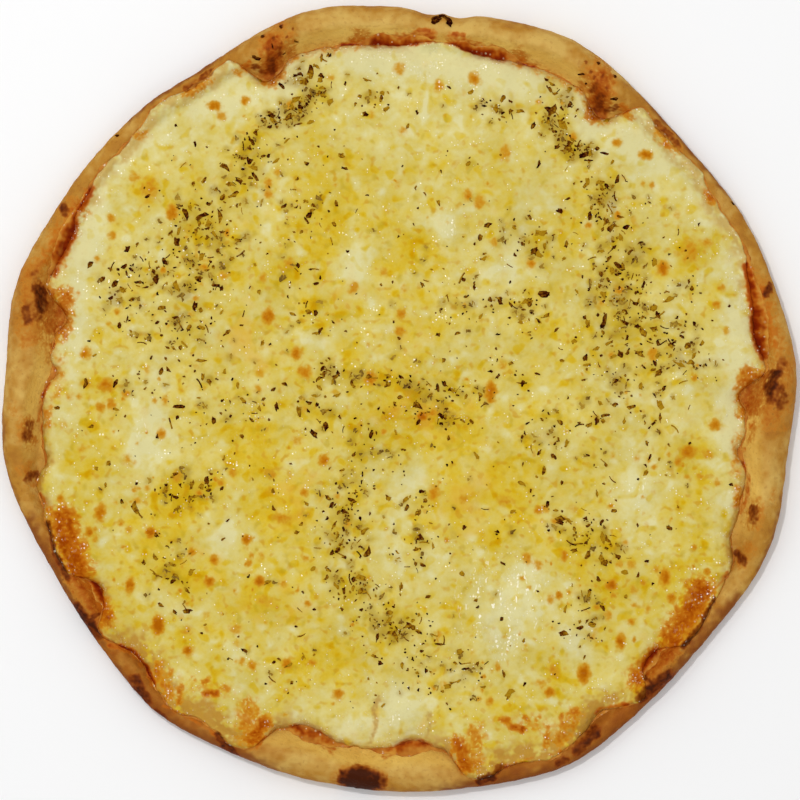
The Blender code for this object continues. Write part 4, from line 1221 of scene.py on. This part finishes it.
marks["wet"] = 0.7 * near_edge + 0.1 * marks["toast"] + patch_marks(x, y, WET_PATCHES)
marks["gloss"] = patch_marks(x, y, GLOSSY_PATCHES)
marks["soak"] = halo(x, y, sunken_flakes, SOAK_PAST_LEAF)
store_all(cheese, marks)
settle(cheese)

# %% [markdown]
# ## The dried herbs
#
# Dried oregano breaks into angular bits of leaf, a few thin stalks, and dust. Each kind is one mesh of many
# small closed bits. A bit has a few dozen faces, its own outline and its own shade, and lies along the
# surface with a little tilt. Bits that sank into the cheese lie lower and look greyer. Copies of one leaf
# would be quicker, but the eye finds copies, so every bit is worked out by itself, corner by corner.

# %% One bit of leaf or stalk
LEAF_CORNERS = 9
INNER_RING = 0.86
RAY_HEIGHT = 0.05
SMOOTH_ANGLE = 40.0


def leaf_bit(dice, length, width, thickness, jagged, bend):
    """Corners and faces of one flat, closed, angular bit of leaf, lying on its own middle."""
    corners = []
    start = dice.uniform(0.0, 1.0)
    for number in range(LEAF_CORNERS):
        turn = math.tau * (number + start + dice.uniform(-0.25, 0.25)) / LEAF_CORNERS
        reach = 0.5 * (1.0 + dice.uniform(-jagged, 0.5 * jagged))
        u, v = length * reach * math.cos(turn), width * reach * math.sin(turn)
        corners.append((u, v + bend * (u / length) ** 2 * width, 0.3 * thickness * dice.uniform(-1.0, 1.0)))
    rings = [(u, v, w) for u, v, w in corners]
    rings += [(INNER_RING * u, INNER_RING * v, w + 0.6 * thickness) for u, v, w in corners]
    rings.append((0.0, 0.0, -0.4 * thickness))
    rings.append((0.0, 0.0, 0.6 * thickness + 0.15 * thickness * dice.uniform(-1.0, 1.0)))
    faces = []
    low, high = 2 * LEAF_CORNERS, 2 * LEAF_CORNERS + 1
    for number in range(LEAF_CORNERS):
        after = (number + 1) % LEAF_CORNERS
        faces.append((number, after, LEAF_CORNERS + after, LEAF_CORNERS + number))
        faces.append((LEAF_CORNERS + number, LEAF_CORNERS + after, high))
        faces.append((after, number, low))
    return rings, faces


def stem_bit(dice, length, width):
    """Corners and faces of one thin, slightly bent stalk."""
    sides = 5
    bend = dice.uniform(-0.12, 0.12) * length
    rings, faces = [], []
    for step in range(4):
        u = length * (step / 3.0 - 0.5)
        v = bend * (1.0 - (2.0 * u / length) ** 2)
        thick = 0.5 * width * dice.uniform(0.75, 1.05)
        for side in range(sides):
            turn = math.tau * side / sides
            rings.append((u, v + thick * math.cos(turn), thick * math.sin(turn)))
    for step in range(3):
        for side in range(sides):
            one, other = step * sides + side, step * sides + (side + 1) % sides
            faces.append((one, other, other + sides, one + sides))
    faces.append(tuple(range(sides)))
    faces.append(tuple(range(4 * sides - 1, 3 * sides - 1, -1)))
    return rings, faces


sample = leaf_bit(random.Random(1), 3.0, 1.5, 0.5, 0.5, 0.0)
print("corners and faces of one bit of leaf", [len(one) for one in sample])

# %% Lay bits over a surface


def scatter(name, places, base, make, sink, shades, tilt):
    """One mesh with a bit at every place, each turned, tilted and laid on the base."""
    dice = random.Random(name)
    bpy.context.view_layer.update()
    corners, faces, tints = [], [], []
    for x, y, length, width, turn in places:
        start = Vector(((x - MIDDLE[0]) * METRES, (y - MIDDLE[1]) * METRES, RAY_HEIGHT))
        hit, spot, normal, _ = base.ray_cast(start, Vector((0.0, 0.0, -1.0)))
        if not hit:
            continue
        bits, bit_faces = make(dice, length, width)
        lean_by = Vector((dice.gauss(0.0, tilt), dice.gauss(0.0, tilt), 0.0))
        lie = (normal + lean_by).normalized().to_track_quat("Z", "Y").to_matrix()
        lie = lie @ Matrix.Rotation(math.radians(turn + AXIS_TURN - 90.0), 3, "Z")
        shade = shades(dice, length)
        first = len(corners)
        for bit in bits:
            corners.append(spot + lie @ (Vector(bit) + Vector((0.0, 0.0, -sink))) * METRES)
            tints.append(shade + 0.5 * bit[0] / length - 0.25 * math.hypot(bit[0], bit[1]) / length)
        faces.extend(tuple(first + one for one in face) for face in bit_faces)
    mesh = bpy.data.meshes.new(name)
    mesh.from_pydata([tuple(one) for one in corners], [], faces)
    piece = bpy.data.objects.new(name, mesh)
    bpy.context.scene.collection.objects.link(piece)
    only(piece)
    bpy.ops.object.mode_set(mode="EDIT")
    bpy.ops.mesh.select_all(action="SELECT")
    bpy.ops.mesh.normals_make_consistent(inside=False)
    bpy.ops.object.mode_set(mode="OBJECT")
    bpy.ops.object.shade_smooth_by_angle(angle=math.radians(SMOOTH_ANGLE))
    store(piece, "shade", tints)
    print(name, len(places), "bits", len(mesh.polygons), "faces")
    return piece


# %% Scatter the herbs


def leaf(dice, length, width):
    """A pressed bit of leaf."""
    return leaf_bit(dice, length, width, 0.5, 0.5, dice.uniform(-0.9, 0.9))


def chip(dice, length, width):
    """A speck of dust."""
    return leaf_bit(dice, length, width, 0.35, 0.4, 0.0)


def any_shade(dice, length):
    """Small bits are mostly dark, larger ones more olive."""
    return dice.random() ** 1.1 + 0.1 * min(length - 1.0, 2.5)


def dark_shade(dice, length):
    """Bits on the dry rim are nearly black."""
    return 0.3 * dice.random() + 0.1


leaf_places = large_flakes + listed_flakes + small_flakes
leaves = scatter("herb_leaves", leaf_places, cheese, leaf, 0.1, any_shade, 0.12)
sunken = scatter("herb_leaves_sunken", sunken_flakes, cheese, leaf, 0.28, any_shade, 0.05)
stems = scatter("herb_stems", stem_places, cheese, stem_bit, 0.0, any_shade, 0.06)
dust = scatter("herb_dust", dust_places, cheese, chip, 0.05, any_shade, 0.1)
rim_herbs = scatter("herbs_on_rim", rim_flake_places(), crust, leaf, 0.1, dark_shade, 0.1)

# %% [markdown]
# ## Writing materials
#
# A material is a small program of nodes. To keep it readable, a number in it is wrapped so that ordinary
# sums can be written, and each sum becomes a Math node. Colours are given as they look on a screen, 0 to
# 255, and turned into light values. Dragging nodes by hand gives the same result, but a sum is easier to
# read again a month later.

# %% Colours and sums


def linear(red, green, blue):
    """A colour as light values, from its everyday numbers."""
    shares = [one / 255.0 for one in (red, green, blue)]
    shares = [one / 12.92 if one <= 0.04045 else ((one + 0.055) / 1.055) ** 2.4 for one in shares]
    return (*shares, 1.0)


class Number:
    """A number in a material. Sums written with it become Math nodes."""

    def __init__(self, finish, socket):
        self.finish = finish
        self.socket = socket

    def math(self, operation, first, second):
        """A Math node that works on two numbers."""
        node = self.finish.node("ShaderNodeMath", {"operation": operation}, {0: first, 1: second})
        return Number(self.finish, node.outputs[0])

    def __add__(self, other):
        return self.math("ADD", self, other)

    def __radd__(self, other):
        return self.math("ADD", other, self)

    def __sub__(self, other):
        return self.math("SUBTRACT", self, other)

    def __rsub__(self, other):
        return self.math("SUBTRACT", other, self)

    def __mul__(self, other):
        return self.math("MULTIPLY", self, other)

    def __rmul__(self, other):
        return self.math("MULTIPLY", other, self)

    def __truediv__(self, other):
        return self.math("DIVIDE", self, other)

    def __rtruediv__(self, other):
        return self.math("DIVIDE", other, self)

    def step(self, low, high):
        """0 below the first number, 1 above the second, and smooth between."""
        settings = {"interpolation_type": "SMOOTHSTEP"}
        node = self.finish.node("ShaderNodeMapRange", settings, {0: self, 1: low, 2: high})
        return Number(self.finish, node.outputs[0])


print("a middle grey as light", round(linear(128, 128, 128)[0], 3))

# %% A material that is being put together


class Finish:
    """A material, its shader and the nodes that feed it."""

    def __init__(self, name):
        self.material = bpy.data.materials.new(name)
        self.material.use_nodes = True
        self.tree = self.material.node_tree
        self.shader = self.tree.nodes["Principled BSDF"]
        self.place = self.node("ShaderNodeTexCoord").outputs["Object"]

    def join(self, value, socket):
        """Sets a socket to a value, or links it to what gives the value."""
        value = value.socket if isinstance(value, Number) else value
        if isinstance(value, bpy.types.NodeSocket):
            self.tree.links.new(value, socket)
        else:
            socket.default_value = value

    def node(self, kind, settings=None, inputs=None):
        """Any node, with its settings and what goes into it."""
        made = self.tree.nodes.new(kind)
        for name, value in (settings or {}).items():
            if name == "stops":
                while len(made.color_ramp.elements) < len(value):
                    made.color_ramp.elements.new(0.5)
                for element, (position, colour) in zip(made.color_ramp.elements, value):
                    element.position = position
                    element.color = colour
            else:
                setattr(made, name, value)
        for socket, value in (inputs or {}).items():
            self.join(value, made.inputs[socket])
        return made

    def mark(self, name):
        """A number stored at the corners of the mesh."""
        return Number(self, self.node("ShaderNodeAttribute", {"attribute_name": name}).outputs["Fac"])

    def uneven_mark(self, name, uneven):
        """A stored number whose soft edge is broken up by chance blotches."""
        stored = self.mark(name)
        return stored + stored.step(0.0, 0.3) * uneven

    def blotch(self, size, seed, stretched=(1.0, 1.0, 1.0), detail=0.0):
        """Soft chance blotches of a size in millimetres, about -2 to 2, mostly within -1 to 1."""
        scale = tuple(one / (size * METRES) for one in stretched)
        mapped = self.node("ShaderNodeMapping", {}, {"Vector": self.place, "Scale": scale})
        mapped.inputs["Location"].default_value = (3.1 * seed, 1.7 * seed, 0.9 * seed)
        inputs = {"Vector": mapped.outputs[0], "Scale": 1.0, "Detail": detail}
        noisy = self.node("ShaderNodeTexNoise", {}, inputs)
        return (Number(self, noisy.outputs[0]) - 0.5) * 7.0

    def beads(self, size, seed, share):
        """Round beads in a share of the cells of a size in millimetres: height, 0 to 1, and a painted
        highlight.
        """
        scale = (1.0 / (size * METRES),) * 3
        mapped = self.node("ShaderNodeMapping", {}, {"Vector": self.place, "Scale": scale})
        mapped.inputs["Location"].default_value = (1.3 * seed, 2.3 * seed, 0.0)
        inputs = {"Vector": mapped.outputs[0], "Scale": 1.0, "Randomness": 0.9}
        cells = self.node("ShaderNodeTexVoronoi", {"voronoi_dimensions": "2D"}, inputs)
        drawn = self.node("ShaderNodeSeparateColor", {}, {0: cells.outputs["Color"]})
        reach = Number(self, drawn.outputs[1]) * Number(self, drawn.outputs[1]) * 0.18 + 0.24
        apart = Number(self, cells.outputs["Distance"]) / reach
        dome = 1.0 - apart * apart
        dome = dome.math("MAXIMUM", dome, 0.0)
        dome = dome * (share - Number(self, drawn.outputs[0])).step(0.0, 0.01)
        # The second number is a painted highlight: a pale spot at the top of each bead.
        return dome, dome.step(0.45, 0.95) * Number(self, drawn.outputs[2])

    def ramp(self, amount, stops):
        """A colour that follows a number."""
        return self.node("ShaderNodeValToRGB", {"stops": stops}, {0: amount}).outputs[0]

    def mix(self, amount, first, second):
        """A colour between two others."""
        node = self.node("ShaderNodeMix", {"data_type": "RGBA"}, {0: amount, 6: first, 7: second})
        return node.outputs[2]

    def brighter(self, amount, colour):
        """A colour times a number."""
        inputs = {0: colour, "Scale": amount}
        return self.node("ShaderNodeVectorMath", {"operation": "SCALE"}, inputs).outputs[0]

    def bump(self, height, depth):
        """A fine relief, with its depth in millimetres."""
        inputs = {"Height": height, "Distance": depth * METRES, "Strength": 1.0}
        return self.node("ShaderNodeBump", {}, inputs).outputs[0]

    def finish(self, **inputs):
        """Gives the shader what it needs, and hands over the material."""
        for name, value in inputs.items():
            self.join(value, self.shader.inputs[name.replace("_", " ")])
        return self.material


def dress(piece, material):
    """Puts a material on a piece and says what it rides on."""
    piece.data.materials.clear()
    piece.data.materials.append(material)
    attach(piece, "root")


print("blotches and beads are sized in steps of", METRES, "metres")

# %% [markdown]
# ## Baked colours
#
# Toasted, sauced and charred places look alike on bread and on cheese, so one recipe lays them over either.
# Each mark goes through two or three colours, from light toast to nearly black, as a real burn does. One
# flat colour with a soft edge would look painted on. The fine speckle inside a toasted patch comes from
# breaking the mark with small blotches.

# %% Toast, sauce stains and char
BEAD_HEIGHT = 0.08


def burnt(finish, colour, light_toast, dark_toast):
    """A colour with the toasted, sauced and charred marks of the edge laid over it."""
    uneven = finish.blotch(3.6, 11) * 0.1 + finish.blotch(1.4, 12) * 0.08
    crumb = finish.blotch(1.2, 18).step(0.6, 1.8)
    toast = finish.uneven_mark("toast", uneven - crumb * 0.3)
    colour = finish.mix(toast.step(0.02, 0.6) * 0.85, colour, light_toast)
    colour = finish.mix(toast.step(0.3, 1.1) * 0.9, colour, dark_toast)
    colour = finish.mix(toast.step(0.95, 1.4) * 0.7, colour, linear(144, 50, 0))
    sauce = finish.uneven_mark("sauce", uneven)
    colour = finish.mix(sauce.step(0.05, 0.6) * 0.8, colour, linear(190, 104, 18))
    colour = finish.mix(sauce.step(0.4, 1.0) * 0.9, colour, linear(154, 58, 4))
    char = finish.uneven_mark("char", uneven)
    colour = finish.mix(char.step(0.02, 0.6) * 0.75, colour, linear(140, 62, 8))
    colour = finish.mix(char.step(0.35, 0.95) * 0.85, colour, linear(96, 36, 6))
    return finish.mix(char.step(0.8, 1.2) * 0.85, colour, linear(60, 24, 8))


print("height of a bead of oil in mm", BEAD_HEIGHT)

# %% [markdown]
# ## The look of the crust
#
# Baked bread is dry and matt, tan on its bubbles, browner in thin places, and pale where flour or thick
# dough kept the heat off. One ramp from pale to brown would do for a loaf, but here thin places are browner
# as a whole. So two ramps over the same soft noise give tan and brown, a mark mixes them, and both keep
# their unevenness. Hardly any shine is left on it. The steep inner slope of a high rim is lightened as
# painted light, against the shade that falls there, and so are two wide pale ovals at its top.

# %% Bread


def crust_finish():
    """Dry baked dough."""
    finish = Finish("bread_crust")
    tone = 0.5 + finish.blotch(16.0, 1) * 0.1 + finish.blotch(6.0, 2) * 0.1 + finish.blotch(2.5, 3) * 0.06
    # The pale mark holds pale bubbles, and at the top also painted light on the inner slope against its
    # shade.
    tone = tone + finish.mark("pale") * 0.45
    tans = (linear(158, 98, 34), linear(183, 129, 47), linear(208, 169, 88))
    browns = (linear(132, 64, 12), linear(158, 88, 23), linear(186, 128, 47))
    pale = finish.ramp(tone, tuple(zip((0.0, 0.5, 1.0), tans)))
    brown = finish.ramp(tone, tuple(zip((0.0, 0.5, 1.0), browns)))
    colour = finish.mix(finish.mark("warm"), pale, brown)
    # Painted light: the steep inner slope is mixed towards a pale tan, against the shade that falls on it.
    colour = finish.mix(finish.mark("slope") * 0.5, colour, linear(246, 204, 100))
    freckles = finish.blotch(1.3, 7).step(1.0, 2.0)
    colour = finish.mix(freckles * 0.2, colour, linear(146, 78, 28))
    edge = (finish.mark("edge") + finish.blotch(3.0, 4) * 0.12).step(0.1, 0.9)
    colour = finish.mix(edge * 0.9, colour, linear(134, 72, 26))
    colour = burnt(finish, colour, linear(192, 126, 40), linear(170, 88, 16))
    fine = finish.blotch(1.6, 5, detail=2.0) * 0.5 + finish.blotch(0.7, 6) * 0.2
    relief = finish.bump(fine, 0.1)
    return finish.finish(Base_Color=colour, Roughness=0.6, Specular_IOR_Level=0.03, Normal=relief)


dress(crust, crust_finish())
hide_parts("crust")
print("colour nodes of the crust", len(crust.data.materials[0].node_tree.nodes))

# %% [markdown]
# ## The look of the sauce
#
# Sauce that runs out from under the cheese is deep red at the cheese and dries to orange and tan at its
# outer edge. Its darkest red, right beside the cheese, is partly painted shade from the cheese's edge. A
# plain noise can't know where that edge is, so the mark that runs from the cheese outwards drives the
# colours. The noise is flattened in height, or it would draw streaks down the steep rim.

# %% Cooked sauce


def sauce_finish():
    """Moist cooked tomato."""
    finish = Finish("cooked_sauce")
    plan = (1.0, 1.0, 0.2)
    tone = finish.blotch(4.0, 1, plan) * 0.16 + finish.blotch(1.6, 2, plan) * 0.1
    thin = finish.ramp(tone + 0.5, ((0.0, linear(168, 92, 26)), (1.0, linear(206, 142, 56))))
    # The darkest red, next to the cheese, is partly painted shade from the cheese's edge.
    deep = finish.ramp(
        tone + finish.mark("outward"),
        (
            (0.0, linear(122, 32, 6)),
            (0.3, linear(146, 52, 6)),
            (0.6, linear(180, 90, 18)),
            (1.0, linear(204, 142, 54)),
        ),
    )
    colour = finish.mix(finish.mark("sauce").step(0.15, 0.8), thin, deep)
    colour = finish.mix(finish.mark("char").step(0.2, 0.9), colour, linear(70, 30, 11))
    bead, painted_glint = finish.beads(1.8, 6, 0.2)
    # Painted highlight: the top of each bead is mixed towards a pale cream.
    colour = finish.mix(painted_glint * 0.6, colour, linear(250, 236, 190))
    relief = finish.bump(finish.blotch(1.6, 5, plan) * 0.02 + bead * BEAD_HEIGHT, 1.0)
    return finish.finish(
        Base_Color=colour,
        Roughness=0.4,
        Specular_IOR_Level=0.0,
        Coat_Weight=bead.step(0.0, 0.1) * 0.8 + 0.05,
        Coat_Roughness=0.28,
        Normal=relief,
    )


dress(sauce_piece, sauce_finish())
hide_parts("tomato_sauce")
print("colour nodes of the sauce", len(sauce_piece.data.materials[0].node_tree.nodes))

# %% [markdown]
# ## The look of the cheese
#
# Cheese is the lightest where it is thick and milky, golden where fat has run out, and orange to brown where
# it blistered. A ramp from cream to gold gives the sheet, and patches of ochre, moss, peach and olive are
# laid over it in turn. Fat stands on it in tiny beads. They are too small to model, so each is a bump with a
# clear coat and a painted highlight, a pale spot at its top, which shows in any light. Streaks of painted
# highlight run along the glossy ridges. The rest of the sheet has no shine of its own, because a mirrored
# lamp or sky would wash out its colour.

# %% Melted cheese
CREAM_TO_GOLD = (
    (0.0, linear(218, 209, 150)),
    (0.2, linear(214, 199, 120)),
    (0.4, linear(211, 190, 92)),
    (0.6, linear(210, 181, 56)),
    (0.8, linear(206, 169, 26)),
    (1.0, linear(200, 150, 4)),
)


def sheet_colour(finish):
    """Cream to gold, with the patches that melting and herbs leave."""
    clouds = finish.blotch(14.0, 1) * 0.045 + finish.blotch(7.0, 2) * 0.065 + finish.blotch(4.0, 3) * 0.05
    clouds = clouds + finish.blotch(2.2, 10) * 0.03 + finish.blotch(1.1, 4) * 0.02
    pools = finish.blotch(4.5, 13).step(0.8, 2.0)
    curds = finish.blotch(6.0, 14).step(0.8, 2.2)
    tone = 0.385 + finish.mark("butter") * 0.42 + clouds + pools * 0.3 - curds * 0.25
    colour = finish.ramp(tone, CREAM_TO_GOLD)
    light = finish.mark("light") + finish.blotch(9.0, 30) * 0.018 + finish.blotch(24.0, 31) * 0.018
    colour = finish.brighter(light + 1.0, colour)
    yellowness = tone.step(0.1, 0.5)
    ochre = finish.blotch(2.6, 15).step(0.7, 2.2) * yellowness
    colour = finish.mix(ochre * 0.6, colour, linear(196, 140, 12))
    moss = finish.blotch(3.2, 16).step(0.7, 2.4) * yellowness
    colour = finish.mix(moss * 0.5, colour, linear(182, 154, 30))
    peach = (finish.mark("peach") + finish.blotch(5.0, 5) * 0.2).step(0.1, 1.2)
    colour = finish.mix(peach * 0.6, colour, linear(220, 176, 72))
    herby = finish.mark("olive") * 0.35 + finish.mark("oil") * 0.4
    olive = (herby + finish.blotch(3.5, 6) * 0.14).step(0.1, 1.3)
    colour = finish.mix(olive * 0.8, colour, linear(184, 152, 24))
    soak = (finish.mark("soak") + finish.blotch(2.0, 9) * 0.1).step(0.15, 1.2)
    return finish.mix(soak * 0.45, colour, linear(152, 118, 26))


def baked_colour(finish, colour):
    """The sheet's colour with its tanned edge, blisters, folds and burnt places."""
    mottled = finish.blotch(4.0, 7) * 0.35 + finish.blotch(1.8, 25) * 0.25 + 1.0
    tan = (finish.mark("tan") * mottled).step(0.0, 1.1)
    tanned = finish.mix(finish.mark("warm"), linear(198, 166, 92), linear(184, 136, 54))
    colour = finish.mix(tan * 0.9, colour, tanned)
    blister = finish.uneven_mark("blister", finish.blotch(1.8, 8) * 0.06 + finish.blotch(0.9, 19) * 0.03)
    colour = finish.mix(blister.step(0.02, 0.5) * 0.9, colour, linear(204, 156, 40))
    colour = finish.mix(blister.step(0.25, 0.75), colour, linear(194, 124, 16))
    colour = finish.mix(blister.step(0.6, 1.0) * 0.8, colour, linear(166, 84, 2))
    crease = (finish.mark("crease") + finish.blotch(1.3, 27) * 0.12).step(0.1, 0.9)
    colour = finish.mix(crease * 0.8, colour, linear(184, 144, 72))
    return burnt(finish, colour, linear(204, 138, 24), linear(180, 92, 8))


def oil_beads(finish, gloss, wet):
    """Beads of fat in clusters, and streaks where the sheet shines: height of both, and a painted highlight.
    """
    clusters = finish.blotch(5.0, 20).step(-0.2, 1.6)
    bead, painted_glint = finish.beads(1.25, 21, (wet * 0.45 + 0.2) * clusters)
    strings = (finish.blotch(2.6, 26, (1.0, 0.2, 1.0)).step(0.3, 1.2) * gloss).step(0.1, 0.7)
    # Streaks are a bump and a painted highlight at once, in strings along the glossy ridges.
    streaks = finish.blotch(0.9, 28, (1.0, 0.6, 1.0)).step(0.6, 1.5)
    streaks = streaks * (strings + wet * clusters * 0.15)
    painted_glint = painted_glint * (finish.blotch(0.6, 29) * 0.35 + 0.9)
    # The painted highlight is the larger of the beads' and the streaks'.
    return bead, streaks, painted_glint.math("MAXIMUM", painted_glint, streaks)


def cheese_finish():
    """A sheet of melted cheeses with beads of fat."""
    finish = Finish("melted_cheese")
    gloss = finish.mark("gloss")
    wet = finish.mark("wet")
    bead, streaks, painted_glint = oil_beads(finish, gloss, wet)
    colour = baked_colour(finish, sheet_colour(finish))
    # Painted highlight: bead tops and streaks are mixed towards a warm white.
    colour = finish.mix(painted_glint, colour, linear(252, 246, 216))
    fine = finish.blotch(3.0, 23) * 0.03 + finish.blotch(1.7, 24) * (wet * 0.04 + 0.01)
    fine = fine + bead * BEAD_HEIGHT + streaks * 0.05
    return finish.finish(
        Base_Color=colour,
        Roughness=0.5,
        Specular_IOR_Level=0.0,
        Coat_Weight=bead.step(0.0, 0.1) * 0.8 + gloss * 0.02,
        Coat_Roughness=0.28,
        Normal=finish.bump(fine, 1.0),
    )


dress(cheese, cheese_finish())
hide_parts("cheese")
print("colour nodes of the cheese", len(cheese.data.materials[0].node_tree.nodes))

# %% [markdown]
# ## The look of the herbs
#
# Dry oregano is olive to nearly black, and each bit has its own shade, kept at its corners. One material
# with a ramp serves all dry bits, so a thousand bits need no thousand materials. Bits under a film of cheese
# look paler and greyer, which a second ramp gives.

# %% Herbs


def herb_finish(name, stops, roughness):
    """Dried leaf, shaded by the numbers at its corners."""
    finish = Finish(name)
    tone = finish.mark("shade") + finish.blotch(0.9, 1) * 0.16
    colour = finish.ramp(tone, stops)
    relief = finish.bump(finish.blotch(0.8, 2), 0.08)
    return finish.finish(Base_Color=colour, Roughness=roughness, Specular_IOR_Level=0.0, Normal=relief)


dry_stops = (
    (0.0, linear(34, 7, 4)),
    (0.25, linear(68, 26, 5)),
    (0.5, linear(103, 57, 8)),
    (0.75, linear(136, 92, 12)),
    (1.0, linear(168, 126, 20)),
)
sunken_stops = ((0.0, linear(106, 78, 30)), (0.5, linear(140, 108, 38)), (1.0, linear(172, 137, 46)))
dry = herb_finish("dry_herb", dry_stops, 0.55)
for piece in (leaves, stems, dust, rim_herbs):
    dress(piece, dry)
dress(sunken, herb_finish("soaked_herb", sunken_stops, 0.4))
print("materials", len(bpy.data.materials))

# %% [markdown]
# ## Light and camera
#
# The photograph looks straight down. A pale floor and a pale sky give soft light from all sides, and a large
# lamp at the upper left shapes the rim. Neither is mirrored, or a grey veil would lie on the cheese. A small
# lamp beside the large one lights the beads of fat from the same side, and four more, one at each corner,
# make highlights and nothing else. One bright lamp could do it all, but it would burn out the rim.

# %% Lamps
SKY = 0.66
FLOOR_SIZE = 3.0
FLOOR_DROP = 0.0002
# Lamps as (name, place, size, power, whether it lights what it shines on, whether wet cheese mirrors it).
LAMPS = (
    ("soft_lamp", (-0.55, 0.65, 1.5), 1.2, 4.0, True, False),
    ("small_lamp", (-0.25, 0.28, 1.45), 0.06, 6.0, True, True),
    ("glint_lamp_1", (0.5, 0.55, 1.3), 0.06, 7.0, False, True),
    ("glint_lamp_2", (0.55, -0.5, 1.3), 0.06, 7.0, False, True),
    ("glint_lamp_3", (-0.5, -0.55, 1.3), 0.06, 7.0, False, True),
    ("glint_lamp_4", (-0.55, 0.5, 1.3), 0.06, 7.0, False, True),
)

bpy.ops.object.select_all(action="DESELECT")
bpy.ops.mesh.primitive_plane_add(size=FLOOR_SIZE, location=(0.0, 0.0, -FLOOR_DROP))
floor = bpy.context.object
floor.name = "floor"
floor_finish = Finish("pale_floor")
floor.data.materials.append(floor_finish.finish(Base_Color=(0.93, 0.93, 0.93, 1.0), Roughness=0.95))

for name, spot, size, power, lights, mirrored in LAMPS:
    bpy.ops.object.light_add(type="AREA", location=spot)
    lamp = bpy.context.object
    lamp.name = name
    lamp.data.size = size
    lamp.data.energy = power
    lamp.visible_diffuse = lights
    lamp.visible_glossy = mirrored
    lamp.rotation_euler = Vector(spot).to_track_quat("Z", "Y").to_euler()

world = bpy.data.worlds.new("studio")
world.use_nodes = True
world.node_tree.nodes["Background"].inputs["Color"].default_value = (1.0, 1.0, 1.0, 1.0)
world.node_tree.nodes["Background"].inputs["Strength"].default_value = SKY
world.cycles_visibility.glossy = False
bpy.context.scene.world = world
print("lamps", len(LAMPS), "brightness of the sky", SKY)

# %% Camera
CAMERA_HEIGHT = 2.5
PICTURE_WIDTH = 0.3212
PICTURE_MIDDLE = (0.2, -0.4)
SENSOR = 36.0
SURFACE_HEIGHT = 0.006

aim_x, aim_y = [(PICTURE_MIDDLE[one] - MIDDLE[one]) * METRES for one in range(2)]
bpy.ops.object.camera_add(location=(aim_x, aim_y, CAMERA_HEIGHT), rotation=(0.0, 0.0, 0.0))
camera = bpy.context.object
camera.data.sensor_width = SENSOR
camera.data.lens = SENSOR * (CAMERA_HEIGHT - SURFACE_HEIGHT) / PICTURE_WIDTH
bpy.context.scene.camera = camera
bpy.context.scene.view_settings.view_transform = "Standard"
print("focal length in mm", round(camera.data.lens, 1))
